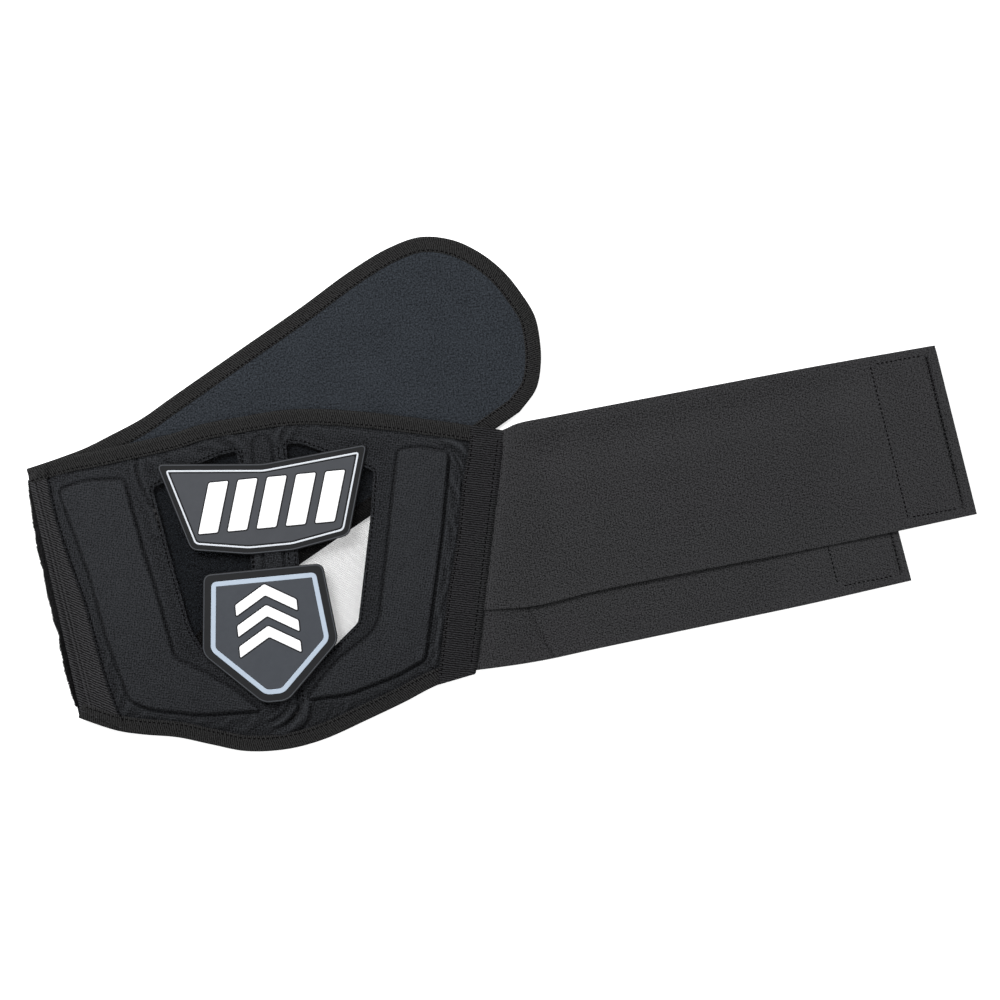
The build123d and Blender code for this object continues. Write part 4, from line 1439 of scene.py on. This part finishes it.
BAR_HEIGHT, BAR_WIDTH, BAR_PITCH, BAR_LEAN, BAR_COUNT = 36.0, 14.0, 21.0, 11.0, 5
BAR_MIDDLE = np.array([4.0, 56.0])
CHEVRON_HALF, CHEVRON_RISE, CHEVRON_BAND, CHEVRON_PITCH, CHEVRON_COUNT = 22.0, 13.0, 8.0, 15.0, 3
CHEVRON_MIDDLE = np.array([-7.0, -30.0])


def slanted_bar(place):
    x = (place - (BAR_COUNT - 1) / 2) * BAR_PITCH
    half, lean, rise = BAR_WIDTH / 2, BAR_LEAN / 2, BAR_HEIGHT / 2
    corners = [(x - half + lean, rise), (x + half + lean, rise),
               (x + half - lean, -rise), (x - half - lean, -rise)]
    return corner_path(np.array(corners) + BAR_MIDDLE, 1.4)


def chevron(place):
    peak = CHEVRON_RISE + ((CHEVRON_COUNT - 1) / 2 - place) * CHEVRON_PITCH
    foot = peak - CHEVRON_RISE
    upper = np.array([(-CHEVRON_HALF, foot), (0, peak), (CHEVRON_HALF, foot)])
    return corner_path(np.vstack([upper, upper[::-1] - (0, CHEVRON_BAND)]) + CHEVRON_MIDDLE, 1.2)


MOTIF_EDGE = 0.9
for name, outlines in (("badge_bars", [slanted_bar(k) for k in range(BAR_COUNT)]),
                       ("emblem_chevrons", [chevron(k) for k in range(CHEVRON_COUNT)])):
    parts = [plate(outline, FIELD_TOP - 0.2, MOTIF_TOP, 0.35) for outline in outlines]
    rubber(join_parts(parts), name, WHITE_RUBBER, "white_rubber", [name])
    outlines = [grown(outline, MOTIF_EDGE) for outline in outlines]
    parts = [plate(outline, FIELD_TOP - 0.2, FIELD_TOP + 0.12, 0.1) for outline in outlines]
    rubber(join_parts(parts), name + "_edges", BLACK_RUBBER, None, ())
for name, outline in (("badge_rim", corner_path(inset_corners(BADGE, 0.5), 4.5)),
                      ("emblem_rim", corner_path(inset_corners(EMBLEM, 0.5), 5.5))):
    rim = plate(outline, SEAT, BADGE_BASE_TOP + 0.2, 0.2, 0.8)
    rubber(rim, name, GREY_RUBBER, None, ())


# ---------------------------------------------------------------- floor, light and camera
FLOOR_HALF = 2.5
FLOOR_LEVEL = -0.0004


def floor():
    """Plain pale sheet of paper under the belt."""
    mesh = bpy.data.meshes.new("floor")
    corners = [(x * FLOOR_HALF, y * FLOOR_HALF, FLOOR_LEVEL) for x, y in ((-1, -1), (1, -1), (1, 1), (-1, 1))]
    mesh.from_pydata(corners, [], [(0, 1, 2, 3)])
    obj = bpy.data.objects.new("floor", mesh)
    bpy.context.scene.collection.objects.link(obj)
    material = bpy.data.materials.new("floor_paper")
    material.use_nodes = True
    shader = next(node for node in material.node_tree.nodes if node.type == "BSDF_PRINCIPLED")
    shader.inputs["Base Color"].default_value = (0.94, 0.94, 0.94, 1)
    shader.inputs["Roughness"].default_value = 0.9
    shader.inputs["Specular IOR Level"].default_value = 0.1
    shader.inputs["Emission Color"].default_value = (1, 1, 1, 1)
    shader.inputs["Emission Strength"].default_value = 0.6
    mesh.materials.append(material)


def area_light(name, place, size, power, target=(0, 0, 0)):
    data = bpy.data.lights.new(name, "AREA")
    data.size = size
    data.energy = power
    obj = bpy.data.objects.new(name, data)
    obj.location = place
    obj.rotation_mode = "QUATERNION"
    obj.rotation_quaternion = (Vector(target) - Vector(place)).to_track_quat("-Z", "Y")
    bpy.context.scene.collection.objects.link(obj)


floor()
area_light("key", (-0.8, 1.2, 1.5), 0.9, 56)
area_light("fill", (1.3, -0.9, 1.7), 1.6, 14)
world = bpy.data.worlds.new("studio")
world.use_nodes = True
world.node_tree.nodes["Background"].inputs["Color"].default_value = (1, 1, 1, 1)
world.node_tree.nodes["Background"].inputs["Strength"].default_value = 0.48
bpy.context.scene.world = world
bpy.context.scene.view_settings.view_transform = "Standard"

CAMERA_HEIGHT = 2.0
CAMERA_MIDDLE = (-0.00075, -0.01495)
CAMERA_UP = (0.0958, 0.9954)
camera_data = bpy.data.cameras.new("photo_camera")
camera_data.lens = 100
camera_data.sensor_width = 36
camera = bpy.data.objects.new("photo_camera", camera_data)
camera.location = (*CAMERA_MIDDLE, CAMERA_HEIGHT)
camera.rotation_euler = (0, 0, math.atan2(-CAMERA_UP[0], CAMERA_UP[1]))
bpy.context.scene.collection.objects.link(camera)
bpy.context.scene.camera = camera
